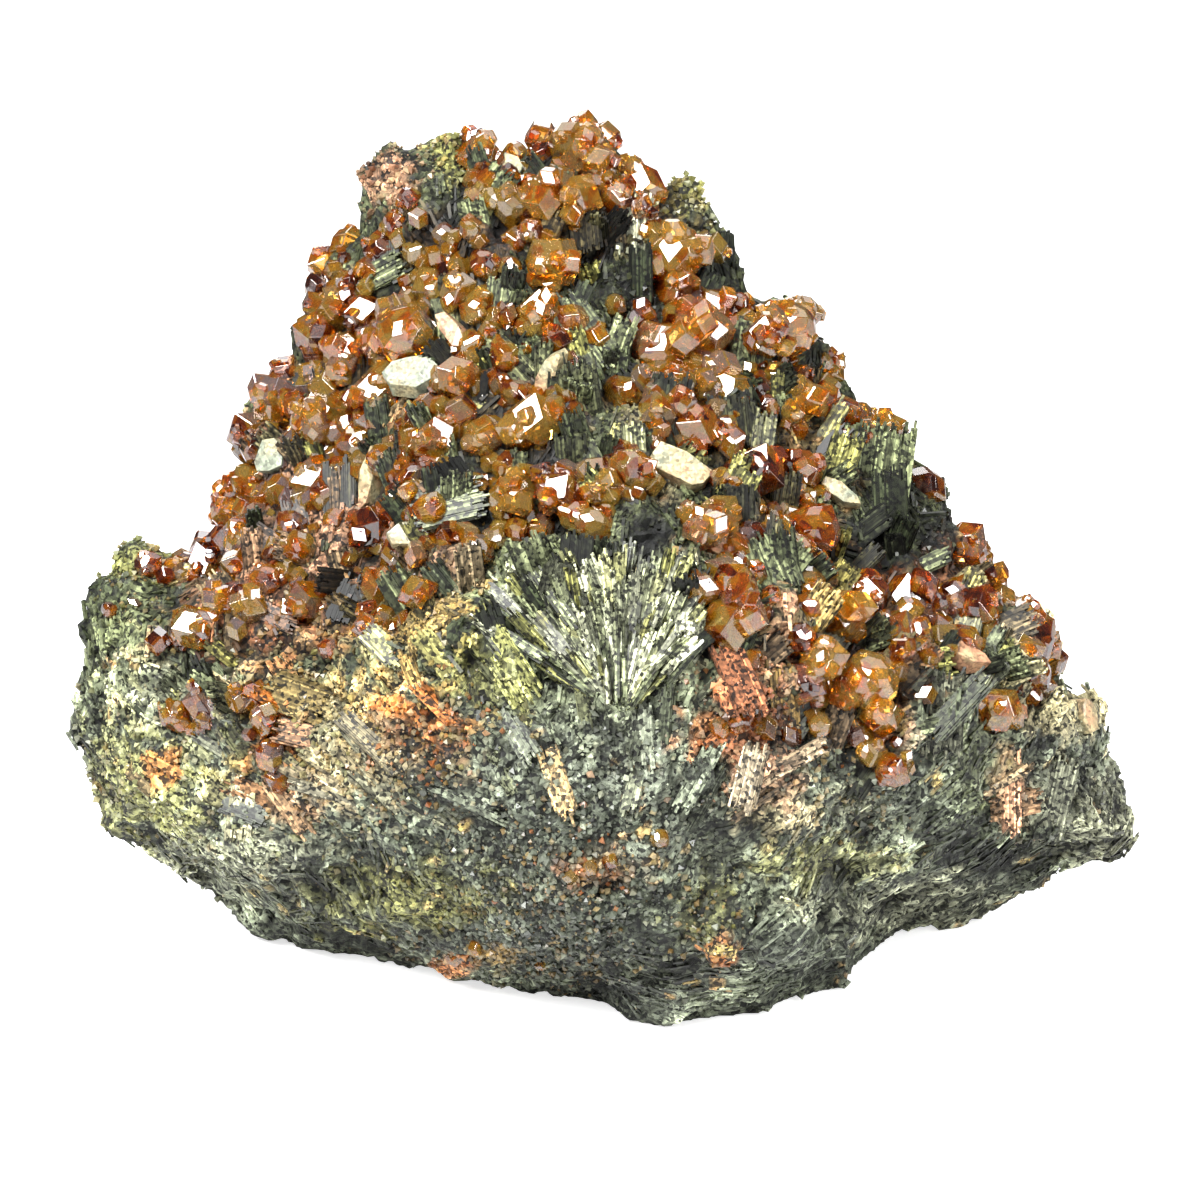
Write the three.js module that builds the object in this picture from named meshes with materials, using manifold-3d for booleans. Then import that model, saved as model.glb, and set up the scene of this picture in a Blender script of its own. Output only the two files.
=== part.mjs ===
import * as THREE from 'three';
import { ConvexGeometry } from 'three/addons/geometries/ConvexGeometry.js';
import { ImprovedNoise } from 'three/addons/math/ImprovedNoise.js';
import { mergeVertices } from 'three/addons/utils/BufferGeometryUtils.js';
import Module from 'manifold-3d';

// A piece of rock covered with garnet crystals, in millimetres.
// Lists give places as [across, up] in the plane that faces a viewer in front of the specimen,
// who looks a little down on it. Across is 0 in the middle and up is 0 at the foot of the rock.

// How the viewer looks at the specimen
const viewDown = THREE.MathUtils.degToRad(18);
const viewDistance = 500;
const viewMiddle = { depth: 22, height: 38.4 };

// Sizes that shape the rock
const facetSize = 4.8;
const backDepth = 60;
const backRounding = 22;
const frontRounding = 7;
const backFalloff = 0.011;
const roughFront = 2.4;
const roughBack = 2.6;
const roughLength = 7.5;
const baseTrim = 1;
const crystalGap = 0.3;
const crystalScale = 1.3;

// The outline of the rock from the front, clockwise from the upper left: across, up
const outline = [
  [-24.5, 82.6], [-24, 84.3], [-20.5, 88.1], [-20, 89.4], [-18.8, 90], [-17, 89.6], [-15, 90.5],
  [-13.5, 89.8], [-11.8, 89.2], [-10.3, 88.2], [-8.5, 87.8], [-7.6, 88.6], [-6.3, 89.4], [-5, 89.4],
  [-3.5, 90.2], [-2, 91], [-1, 90.4], [0.4, 89.4], [1.8, 88.4], [2.2, 87], [3.4, 86.2], [4.5, 86.4],
  [6, 85], [8.5, 86.4], [9.7, 84.9], [10.2, 83.4], [11.4, 82.4], [12.5, 80.6], [13.4, 78.6],
  [14.6, 76.2], [15.2, 73.8], [17.5, 73.8], [20.2, 72.2], [21.3, 70.2], [21.5, 68], [22.6, 66],
  [24.5, 65.6], [25.6, 64.4], [26, 62.2], [28, 62], [30.2, 60.6], [31.4, 57.6], [33.4, 57],
  [34.6, 55], [35.4, 51.4], [37, 49.2], [38.4, 48.4], [39.4, 45.8], [38.8, 44], [41, 43.2],
  [43.2, 42.8], [45, 41.6], [45.7, 39.2], [45.6, 36.5], [47.6, 34.7], [49.9, 33.1], [50.6, 29.8],
  [52.2, 26.8], [53.1, 24.1], [53.8, 21.3], [53.9, 19.2], [53, 17.4], [51.4, 16.6], [48.5, 17.1],
  [46, 17.1], [44.4, 15.3], [41, 13.9], [39.9, 11.9], [37.5, 11.3], [35.4, 9.9], [32.5, 10.3],
  [30.6, 10.2], [29.9, 8.4], [27.5, 7.8], [25.6, 6.3], [24.8, 4], [20, 3.3], [16, 1.4], [10, 0.8],
  [6, 0], [2.5, 0.7], [0, 2.7], [-4, 3.3], [-10, 4.8], [-16, 5.8], [-20, 6.8], [-25, 7.7],
  [-30, 7.9], [-31.2, 8.9], [-35.4, 9.9], [-36.5, 12.6], [-38.5, 13.8], [-42.5, 15.4],
  [-45.5, 17.8], [-48.9, 19.9], [-50, 22.3], [-51.5, 24.4], [-52.3, 27.3], [-53.5, 29.7],
  [-52.8, 33.3], [-52, 36.3], [-51.8, 39.3], [-51.9, 42.2], [-50.4, 44.7], [-48.5, 45.9],
  [-48, 47.8], [-46.4, 48.7], [-44, 48.3], [-42, 47.4], [-38.7, 48.6], [-38.1, 51.3], [-37.6, 53.2],
  [-36, 55.2], [-35.8, 57.3], [-37, 60.3], [-36.3, 61.8], [-34.8, 64.2], [-32.8, 65.2], [-31, 66.9],
  [-31, 70.2], [-29.4, 72], [-29, 73.4], [-29.8, 74.7], [-28, 76.7], [-26, 79.1], [-24.6, 80],
];

// How far back the outline lies, across, up, depth
const outlineDepths = [
  [-24, 83, 41], [-12, 89, 41], [0, 90, 40], [9, 85, 41], [14, 78, 41], [21, 70, 39], [28, 62, 36],
  [35, 53, 34], [39, 46, 32], [45, 40, 30], [50, 33, 28], [54, 20, 28], [46, 17, 31], [36, 10, 33],
  [0, 0, 40], [-36, 12, 30], [-45, 18, 26], [-52, 28, 27], [-52, 40, 28], [-44, 48, 31],
  [-38, 54, 35], [-37, 61, 37], [-30, 70, 39],
];

// How far back the front face lies, across, up, depth
const frontDepths = [
  [5, 2, 0], [4, 10, -7], [0, 18, -10], [2, 31, -9], [0, 39, -5], [0, 46, 0], [-4, 54, 8],
  [-4, 63, 16], [-4, 73, 25], [-4, 83, 33], [-30, 13, 14], [-30, 23, 4], [-30, 33, 6], [-30, 43, 12],
  [-30, 53, 20], [-30, 63, 28], [-15, 12, 2], [-15, 24, -6], [-15, 36, -4], [-14, 50, 8],
  [-14, 64, 19], [-16, 76, 29], [-45, 23, 14], [-50, 33, 19], [-45, 38, 16], [-48, 47, 27],
  [-37, 60, 34], [-30, 74, 37], [-24, 83, 39], [16, 12, -4], [16, 24, -7], [14, 38, -3],
  [12, 50, 5], [12, 60, 15], [10, 70, 28], [9, 81, 38], [30, 14, 10], [30, 19, 3], [30, 28, -1],
  [35, 33, 2], [30, 43, 9], [25, 53, 15], [20, 63, 24], [26, 60, 32], [20, 72, 37], [37, 49, 31],
  [42, 40, 20], [45, 31, 13], [45, 23, 10], [52, 20, 20], [35, 13, 22], [44, 18, 24],
];

// Blocks of parallel fibres on the rock: across, up, half length, half width, lie in degrees, slabs
const fibreBlocks = [
  [-1.8, 69.8, 3.8, 2.6, 122, 2], [-1.8, 62.8, 4.4, 2.2, 100, 1], [-9.2, 67.1, 2.8, 2, 135, 1],
  [-15, 60, 2.3, 1.6, 45, 1], [-15.2, 52.9, 3.2, 2.3, 12, 1], [-26, 54.3, 2.6, 1.9, 92, 1],
  [-1.5, 80.5, 2, 1.7, 96, 1], [3.3, 80.8, 2.8, 2.1, 88, 1], [-11, 84.3, 2.4, 1.8, 50, 1],
  [-21.8, 76.1, 2.4, 1.6, 22, 1], [-27.4, 72.4, 1.8, 1.2, 35, 1], [15, 68.1, 2.6, 2.1, 80, 1],
  [20.5, 67.4, 2.4, 1.9, 62, 1], [27.5, 56.8, 3.7, 4.2, 84, 2], [29, 52.6, 3.4, 1.9, 92, 1],
  [17.2, 46.8, 2.7, 2.6, 112, 2], [8.8, 44.3, 5, 1.2, 92, 1], [-6.2, 46.3, 3.2, 2.2, 112, 1],
  [4.8, 43.8, 2.7, 1.3, 88, 1], [36.2, 40.8, 2.3, 2.2, 78, 1], [40.3, 38.6, 3.2, 1.7, 90, 1],
  [33.8, 31.8, 3.7, 2.7, 88, 2], [-36.6, 40.8, 2.1, 1.2, 90, 1], [6.8, 62.3, 3.3, 2.2, 80, 1],
  [13.3, 60.3, 3.1, 2.6, 96, 2], [14, 52.3, 2.3, 1.6, 90, 1], [-25.5, 43.1, 2.3, 1.5, 70, 1],
  [-43, 45.8, 3, 1.4, 20, 1], [-10, 37.6, 4.6, 2, 130, 1], [-21.4, 86.4, 3.2, 1.9, 52, 1],
  [-30.3, 33.5, 2.8, 2.3, 160, 1], [-35.8, 23.2, 3.4, 1.6, 84, 1], [-21.7, 38.6, 2.2, 1.3, 135, 1],
  [-26.1, 24.2, 2.3, 1.3, 150, 1], [14.8, 25.6, 3, 1.5, 76, 1], [10.3, 24.9, 3, 1.5, 110, 1],
  [45.4, 23.3, 4.2, 1.9, 80, 1], [41.2, 24.3, 4, 1, 92, 1], [14, 35.5, 3.6, 1.8, 104, 1],
  [18.4, 33, 3.4, 1.8, 98, 1], [20.6, 39, 2.6, 1.5, 100, 1], [-44, 27, 3.6, 1.8, 66, 1],
];

// The fan of pale fibres: its root, then the lie and reach of each rib
const fanRoot = [2, 31.5];
const fanRibs = [
  [127, 10], [115, 13.5], [104, 15.5], [93, 15.5], [81, 14.5], [69, 12.5], [56, 9.5],
];

// Rounded knobs of packed grains and the ledge low on the right: across, up, radius
const knobs = [
  [-15, 88.8, 1.7], [-2.4, 90.1, 1.2], [8.5, 84, 2.3], [9.2, 81.2, 2], [33, 48.8, 3.5], [4, 74.8, 1.9],
  [3.2, 60.8, 2.5], [-46, 46.8, 2.5], [-14, 46, 3.1], [-16.4, 84.6, 2.2], [-18.6, 80, 2],
  [11.5, 11.3, 3.6], [17.5, 10.8, 3.5], [23.5, 11.5, 3.6],
];

// Dark hollows between the crystals: across, up, radius
const hollows = [
  [-1.4, 76.2, 2.4], [-1.2, 78.6, 1.8], [-9.5, 80.8, 1.6], [28.4, 48.9, 2.8], [-39, 37.6, 2.2],
  [-16, 64.8, 1.2], [-1, 55.9, 1.5], [37.5, 34.2, 1.5], [33.5, 44.6, 1.6], [-33.5, 50.6, 1.6],
  [16, 42.8, 1.8],
];

// Pale flat blades of another mineral: across, up, half length, half width, lie in degrees
const blades = [
  [-23, 55.3, 3.3, 0.8, 76], [-18.6, 65.9, 3.1, 1.8, 172], [-14.8, 70.3, 2.5, 0.9, 126],
  [-8.9, 86.7, 1.8, 0.9, 134], [-5, 66.1, 3, 0.8, 48], [24, 54.1, 2.6, 0.8, 147],
  [36.4, 37.9, 2.6, 1.1, 172], [12.8, 48.3, 2.4, 1, 4], [8, 56.6, 3.7, 1.6, 148],
  [48.5, 31.6, 2, 1.2, 92], [-32.8, 57.8, 2.1, 1.5, 60], [-18.9, 50, 2.8, 1.2, 8],
];

// Garnet crystals: across, up, radius, and 1 where a face is turned to the light
const garnets = [
  [-12, 87.6, 2, 0], [-1.2, 87.8, 2.2, 1], [4, 84.6, 2.2, 1], [-5.6, 83.2, 1.8, 0], [-2, 83.7, 2, 0],
  [-4.7, 77.1, 2.5, 1], [7.5, 78, 3, 1], [10, 70.1, 3.2, 0], [6.3, 68.3, 2.8, 1], [19, 70.4, 2.8, 1],
  [16.5, 69.5, 2, 1], [19.6, 63.3, 2.3, 0], [22.5, 63.4, 1.6, 0], [24.4, 61.8, 1.8, 1],
  [28.4, 60, 2.2, 0], [-6, 72.1, 2, 1], [-19.5, 69.8, 3.2, 1], [-14.5, 65.5, 2, 0],
  [-6.6, 61.2, 2.5, 1], [-8.5, 54, 2, 1], [-4, 54.1, 2, 1], [10, 64.4, 1.8, 1], [12.8, 64.2, 2, 1],
  [9.7, 60.4, 2.2, 0], [15.7, 56.2, 2.5, 1], [20, 56.1, 2.1, 0], [12, 51.6, 2, 0], [21.4, 50.3, 2.8, 0],
  [12.4, 45.2, 2.2, 0], [12.8, 41.2, 2.5, 0], [20.4, 44.6, 2, 0], [23.8, 41.6, 2.8, 1],
  [26.8, 43.8, 2, 1], [31, 43.4, 2.5, 0], [29.7, 39.6, 2.5, 1], [22.4, 37.4, 2, 1], [27, 35.2, 3, 1],
  [28.2, 31.8, 1.8, 0], [42.8, 39.6, 2.8, 0], [40, 32.3, 2, 1], [-28.3, 70, 2.2, 1],
  [-23.5, 71.8, 2, 1], [-25.4, 68, 2.2, 1], [-28.4, 65.2, 1.9, 0], [-32.2, 63.2, 2.4, 0],
  [-28, 61.4, 2.4, 1], [-22.4, 64, 2.2, 1], [-28.8, 55.1, 2, 1], [-23, 50.6, 2, 0], [-29.5, 43.2, 2, 0],
  [-39.5, 47, 2, 0], [-40.8, 40.6, 2, 1], [-39.3, 33, 2, 0],
];

// The way a lit crystal face looks: left, towards the viewer and up
const litFacing = new THREE.Vector3(-0.16, -0.8, 0.58).normalize();

const noise = new ImprovedNoise();
const wasm = await Module();
wasm.setup();

// A steady pseudo-random number from 0 to 1
function chance(seed, turn) {
  const wave = Math.sin(seed * 12.9898 + turn * 78.233) * 43758.5453;
  return wave - Math.floor(wave);
}

// The point at a depth on the line of sight through a place in the facing plane
function place(across, up, depth) {
  const cos = Math.cos(viewDown);
  const sin = Math.sin(viewDown);
  const level = viewMiddle.depth * sin + viewMiddle.height * cos;
  const eyeDepth = viewMiddle.depth - viewDistance * cos;
  const eye = new THREE.Vector3(0, eyeDepth, viewMiddle.height + viewDistance * sin);
  const rise = up - level;
  const way = new THREE.Vector3(across, viewDistance * cos + rise * sin, rise * cos - viewDistance * sin);
  return eye.clone().addScaledVector(way, (depth - eye.y) / way.y);
}

// The depth at which the line of sight meets a level under the ground
function groundDepth(across, up) {
  const near = place(across, up, 0);
  const far = place(across, up, 10);
  return 10 * (near.z + baseTrim) / (near.z - far.z);
}

// A solid for joining and cutting, from a three.js geometry
function solid(geometry) {
  const bare = geometry.clone();
  bare.deleteAttribute('normal');
  bare.deleteAttribute('uv');
  const merged = mergeVertices(bare, 1e-4);
  return new wasm.Manifold(new wasm.Mesh({
    numProp: 3,
    vertProperties: new Float32Array(merged.attributes.position.array),
    triVerts: new Uint32Array(merged.index.array),
  }));
}

// The three.js geometry of a solid
function geometryOf(manifold) {
  const mesh = manifold.getMesh();
  const geometry = new THREE.BufferGeometry();
  geometry.setAttribute('position', new THREE.BufferAttribute(new Float32Array(mesh.vertProperties), 3));
  geometry.setIndex(new THREE.BufferAttribute(new Uint32Array(mesh.triVerts), 1));
  return geometry;
}

function largest(manifold) {
  const bodies = manifold.decompose();
  bodies.sort((one, other) => other.volume() - one.volume());
  return bodies[0];
}

// Whether a place lies inside the outline
function insideOutline(across, up) {
  let inside = false;
  outline.forEach(([ax, ay], i) => {
    const [bx, by] = outline[(i + 1) % outline.length];
    if ((ay > up) !== (by > up) && across < ((bx - ax) * (up - ay)) / (by - ay) + ax) inside = !inside;
  });
  return inside;
}

// The distance from a place to the outline
function outlineDistance(across, up) {
  let least = Infinity;
  outline.forEach(([ax, ay], i) => {
    const [bx, by] = outline[(i + 1) % outline.length];
    const length2 = (bx - ax) ** 2 + (by - ay) ** 2;
    const along = THREE.MathUtils.clamp(((across - ax) * (bx - ax) + (up - ay) * (by - ay)) / length2, 0, 1);
    least = Math.min(least, Math.hypot(across - ax - along * (bx - ax), up - ay - along * (by - ay)));
  });
  return least;
}

// A smooth value between the listed ones
function blend(table, across, up, spread) {
  let sum = 0;
  let weight = 0;
  for (const [a, u, value] of table) {
    const near = Math.exp(-((across - a) ** 2 + (up - u) ** 2) / (2 * spread ** 2)) + 1e-9;
    sum += near * value;
    weight += near;
  }
  return sum / weight;
}

function swell(distance, reach) {
  const q = Math.min(1, distance / reach);
  return Math.sqrt(1 - (1 - q) ** 2);
}

function rimDepth(across, up) {
  return Math.min(blend(outlineDepths, across, up, 5), groundDepth(across, up));
}

function frontDepth(across, up) {
  const rim = rimDepth(across, up);
  const face = blend(frontDepths, across, up, 5.5);
  return rim + (face - rim) * swell(outlineDistance(across, up), frontRounding);
}

function rearDepth(across, up) {
  const rim = rimDepth(across, up);
  const face = backDepth - backFalloff * across ** 2;
  return rim + (face - rim) * swell(outlineDistance(across, up), backRounding);
}

// Triangles over a set of points so that no point lies in another triangle's circle
function delaunay(points) {
  const all = [...points, [-900, -500], [900, -500], [0, 1200]];
  const circle = (a, b, c) => {
    const [ax, ay] = all[a];
    const [bx, by] = all[b];
    const [cx, cy] = all[c];
    const d = 2 * (ax * (by - cy) + bx * (cy - ay) + cx * (ay - by));
    const a2 = ax * ax + ay * ay;
    const b2 = bx * bx + by * by;
    const c2 = cx * cx + cy * cy;
    const x = (a2 * (by - cy) + b2 * (cy - ay) + c2 * (ay - by)) / d;
    const y = (a2 * (cx - bx) + b2 * (ax - cx) + c2 * (bx - ax)) / d;
    return { a, b, c, x, y, r2: (ax - x) ** 2 + (ay - y) ** 2 };
  };
  const n = points.length;
  let triangles = [circle(n, n + 1, n + 2)];
  points.forEach(([px, py], i) => {
    const edges = new Map();
    const kept = [];
    for (const t of triangles) {
      if ((px - t.x) ** 2 + (py - t.y) ** 2 >= t.r2) {
        kept.push(t);
        continue;
      }
      for (const [from, to] of [[t.a, t.b], [t.b, t.c], [t.c, t.a]]) {
        if (edges.has(to + ' ' + from)) edges.delete(to + ' ' + from);
        else edges.set(from + ' ' + to, [from, to]);
      }
    }
    triangles = kept;
    for (const [from, to] of edges.values()) triangles.push(circle(from, to, i));
  });
  return triangles.filter((t) => t.a < n && t.b < n && t.c < n).map((t) => [t.a, t.b, t.c]);
}

// Places over the outline: its own corners, then a loose net inside it
function sheetPoints() {
  const points = outline.map(([a, u]) => [a, u]);
  const rowStep = facetSize * 0.87;
  for (let row = 0; row * rowStep < 92; row++) {
    for (let column = -18; column <= 18; column++) {
      const seed = row * 41 + column;
      const across = (column + (row % 2) / 2 + 0.46 * (chance(seed, 1) - 0.5)) * facetSize;
      const up = (row + 0.46 * (chance(seed, 2) - 0.5)) * rowStep;
      const clear = outlineDistance(across, up) > 0.55 * facetSize;
      if (clear && insideOutline(across, up)) points.push([across, up]);
    }
  }
  return points;
}

function roughness(point, amount) {
  const { x, y, z } = point;
  const wide = noise.noise(x / roughLength + 7.3, y / roughLength, z / roughLength);
  const fine = noise.noise(x / 3.1, y / 3.1 + 4.7, z / 3.1);
  return amount * (1.2 * wide + 0.8 * fine);
}

// The rock without what grows on it: a front and a back sheet that meet at the outline
function bareRock() {
  const points = sheetPoints();
  const middle = (t, k) => (points[t[0]][k] + points[t[1]][k] + points[t[2]][k]) / 3;
  const triangles = delaunay(points).filter((t) => insideOutline(middle(t, 0), middle(t, 1)));
  const sides = new Set();
  triangles.forEach(([a, b, c]) => [[a, b], [b, c], [c, a]].forEach(([p, q]) => sides.add(p + ' ' + q)));
  const onRim = new Set();
  triangles.forEach(([a, b, c]) => [[a, b], [b, c], [c, a]].forEach(([p, q]) => {
    if (!sides.has(q + ' ' + p)) [p, q].forEach((v) => onRim.add(v));
  }));
  const vertices = [];
  const front = [];
  const rear = [];
  points.forEach(([across, up], i) => {
    const rim = onRim.has(i);
    const depth = rim ? rimDepth(across, up) : frontDepth(across, up);
    const rough = rim ? 0 : roughness(place(across, up, depth), roughFront);
    front[i] = vertices.push(place(across, up, depth + rough)) - 1;
    const far = rearDepth(across, up);
    const ragged = roughness(place(across, up, far), roughBack);
    rear[i] = rim ? front[i] : vertices.push(place(across, up, Math.max(far + ragged, depth + 4))) - 1;
  });
  const index = [];
  triangles.forEach(([a, b, c]) => {
    index.push(front[a], front[b], front[c]);
    index.push(rear[a], rear[c], rear[b]);
  });
  const geometry = new THREE.BufferGeometry().setFromPoints(vertices);
  geometry.setIndex(index);
  return solid(geometry);
}

// The surface point seen at a place, with the way that the surface looks there
function surfaceAt(mesh, across, up) {
  const target = place(across, up, 20);
  const start = place(across, up, -60);
  const way = target.clone().sub(start).normalize();
  const hit = new THREE.Raycaster(start, way).intersectObject(mesh)[0];
  if (!hit) return { point: place(across, up, rimDepth(across, up)), normal: way.clone().negate(), way };
  return { point: hit.point, normal: hit.face.normal.clone(), way };
}

// A frame at a surface point: x along the lie seen from the front, z out of the rock
function seatFrame(spot, lie) {
  const out = spot.normal.clone().addScaledVector(spot.way, -0.8).normalize();
  const side = new THREE.Vector3(1, 0, 0);
  const top = new THREE.Vector3().crossVectors(side, spot.way).normalize();
  const angle = THREE.MathUtils.degToRad(lie);
  const along = side.multiplyScalar(Math.cos(angle)).addScaledVector(top, Math.sin(angle));
  along.addScaledVector(out, -along.dot(out)).normalize();
  const across = new THREE.Vector3().crossVectors(out, along);
  return new THREE.Matrix4().makeBasis(along, across, out).setPosition(spot.point);
}

// A slab with uneven ends, long in x and standing proud in z
function slab(half, width, proud, deep, seed) {
  const points = [];
  for (const end of [-1, 1]) {
    for (const edge of [-1, 1]) {
      const reach = half * (0.86 + 0.3 * chance(seed, 3 + end + 2 * edge));
      const top = proud * (0.7 + 0.5 * chance(seed, 11 + end + 2 * edge));
      points.push(new THREE.Vector3(end * reach, edge * width, -deep));
      points.push(new THREE.Vector3(end * reach * 0.94, edge * width * 0.85, top));
    }
  }
  return new ConvexGeometry(points);
}

// One block: slabs of fibres side by side, each with its own length and height
function fibreBlock(mesh, [across, up, half, width, lie, slabs], seed) {
  const frame = seatFrame(surfaceAt(mesh, across, up), lie);
  const step = (2 * width) / slabs;
  const pieces = [];
  for (let i = 0; i < slabs; i++) {
    const own = seed * 7 + i;
    const proud = 0.55 + 0.75 * chance(own, 21) + 0.12 * half;
    const piece = slab(half * (0.82 + 0.3 * chance(own, 22)), step * 0.56, proud, 1.6, own);
    const slide = half * 0.35 * (chance(own, 23) - 0.5);
    piece.translate(slide, -width + step * (i + 0.5), 0);
    pieces.push(solid(piece.applyMatrix4(frame)));
  }
  return pieces;
}

// The ribs of the fan, from its root outwards
function fan(mesh) {
  return fanRibs.map(([lie, reach], i) => {
    const angle = THREE.MathUtils.degToRad(lie);
    const middle = 0.5 * reach + 1.5;
    const across = fanRoot[0] + middle * Math.cos(angle);
    const up = fanRoot[1] + middle * Math.sin(angle);
    const frame = seatFrame(surfaceAt(mesh, across, up), lie);
    const rib = slab(reach * 0.5, 0.75, 1 + 0.7 * chance(i, 31), 1.8, 300 + i);
    return solid(rib.applyMatrix4(frame));
  });
}

// A lump with flat sides, for knobs and hollows
function lump(mesh, [across, up, radius], seed, sink) {
  const { point, way } = surfaceAt(mesh, across, up);
  const corners = new THREE.IcosahedronGeometry(radius, 0).attributes.position;
  const points = [];
  for (let i = 0; i < corners.count; i++) {
    const corner = new THREE.Vector3().fromBufferAttribute(corners, i);
    const own = Math.round(corner.x * 50) + 3 * Math.round(corner.y * 50) + 7 * Math.round(corner.z * 50);
    points.push(corner.multiplyScalar(0.82 + 0.36 * chance(own, seed)));
  }
  const geometry = new ConvexGeometry(points);
  return solid(geometry.translate(...point.addScaledVector(way, sink * radius).toArray()));
}

// A rhombic dodecahedron, 1 from the middle to its four-faced corners
function dodecahedron() {
  const points = [];
  for (const sign of [-1, 1]) {
    points.push(new THREE.Vector3(sign, 0, 0), new THREE.Vector3(0, sign, 0), new THREE.Vector3(0, 0, sign));
  }
  for (const x of [-0.5, 0.5]) {
    for (const y of [-0.5, 0.5]) {
      for (const z of [-0.5, 0.5]) points.push(new THREE.Vector3(x, y, z));
    }
  }
  return points;
}

// The corners of a trapezohedron whose planes cut the edges of that dodecahedron
function trapezohedron(bevel) {
  const points = [];
  for (const x of [-1, 0, 1]) {
    for (const y of [-1, 0, 1]) {
      for (const z of [-1, 0, 1]) {
        const filled = Math.abs(x) + Math.abs(y) + Math.abs(z);
        if (filled) points.push(new THREE.Vector3(x, y, z).multiplyScalar((2 * bevel) / (filled + 1)));
      }
    }
  }
  return points;
}

// The turn of a crystal: a face towards the light, or any way round
function crystalTurn(lit, seed) {
  const faceWay = new THREE.Vector3(1, 1, 0).normalize();
  const stray = new THREE.Vector3(chance(seed, 1) - 0.5, chance(seed, 2) - 0.5, chance(seed, 3) - 0.5);
  if (lit) {
    const facing = litFacing.clone().addScaledVector(stray, 0.22).normalize();
    const turn = new THREE.Quaternion().setFromUnitVectors(faceWay, facing);
    return new THREE.Quaternion().setFromAxisAngle(facing, 6.283 * chance(seed, 4)).multiply(turn);
  }
  return new THREE.Quaternion().setFromAxisAngle(stray.normalize(), 6.283 * chance(seed, 5));
}

// One crystal and the larger form that clears it, both in place on the rock
function crystal(mesh, [across, up, size, lit], seed) {
  const radius = size * crystalScale;
  const { point, way } = surfaceAt(mesh, across, up);
  const centre = point.addScaledVector(way, -0.32 * radius);
  const turn = crystalTurn(lit, seed);
  const bevelled = size >= 2.8;
  const shape = (corners, scale) => {
    const geometry = new ConvexGeometry(corners).scale(scale, scale, scale).applyQuaternion(turn);
    return solid(geometry.translate(...centre.toArray()));
  };
  let body = shape(dodecahedron(), radius);
  if (bevelled) body = body.intersect(shape(trapezohedron(0.84 + 0.08 * chance(seed, 6)), radius));
  return { body, clear: shape(dodecahedron(), radius + crystalGap * 1.45), size, centre };
}

// One pale blade with broken edges, and the larger form that clears it
function blade(mesh, [across, up, half, width, lie], seed) {
  const spot = surfaceAt(mesh, across, up);
  spot.point.addScaledVector(spot.way, -0.6);
  const frame = seatFrame(spot, lie);
  frame.multiply(new THREE.Matrix4().makeRotationX(0.7 * (chance(seed, 1) - 0.5)));
  frame.multiply(new THREE.Matrix4().makeRotationY(0.4 * (chance(seed, 2) - 0.5)));
  const corners = 7;
  const shape = (grow) => {
    const points = [];
    for (let i = 0; i < corners; i++) {
      const turn = ((i + 0.6 * chance(seed, 10 + i)) / corners) * 2 * Math.PI;
      const reach = 0.85 + 0.3 * chance(seed, 20 + i);
      const x = Math.cos(turn) * (reach * half + 1.2 * grow);
      const y = Math.sin(turn) * (reach * width * 1.2 + 1.2 * grow);
      points.push(new THREE.Vector3(x * 0.95, y * 0.85, 0.55 + 0.4 * chance(seed, 30 + i) + grow));
      points.push(new THREE.Vector3(x, y, -1.1 - grow));
    }
    return solid(new ConvexGeometry(points).applyMatrix4(frame));
  };
  return { body: shape(0), clear: shape(crystalGap * 1.1), size: half, centre: spot.point };
}

// Crystals that run into each other become one group
function groupOverlapping(crystals) {
  const groups = [];
  for (const one of crystals) {
    const touching = groups.filter((group) => group.some((other) => {
      if (one.centre.distanceTo(other.centre) > 1.2 * (one.size + other.size) + 1) return false;
      return one.body.intersect(other.body).volume() > 0.05;
    }));
    const joined = [one, ...touching.flat()];
    for (const group of touching) groups.splice(groups.indexOf(group), 1);
    groups.push(joined);
  }
  return groups;
}

function joinAll(solids) {
  return solids.reduce((sum, piece) => sum.add(piece));
}

const rockMaterial = new THREE.MeshStandardMaterial({ color: 0x5d6152, roughness: 0.85, metalness: 0 });
const garnetMaterial = new THREE.MeshStandardMaterial({ color: 0x8a4a14, roughness: 0.15, metalness: 0 });
const bladeMaterial = new THREE.MeshStandardMaterial({ color: 0xd8c9b2, roughness: 0.5, metalness: 0 });

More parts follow.
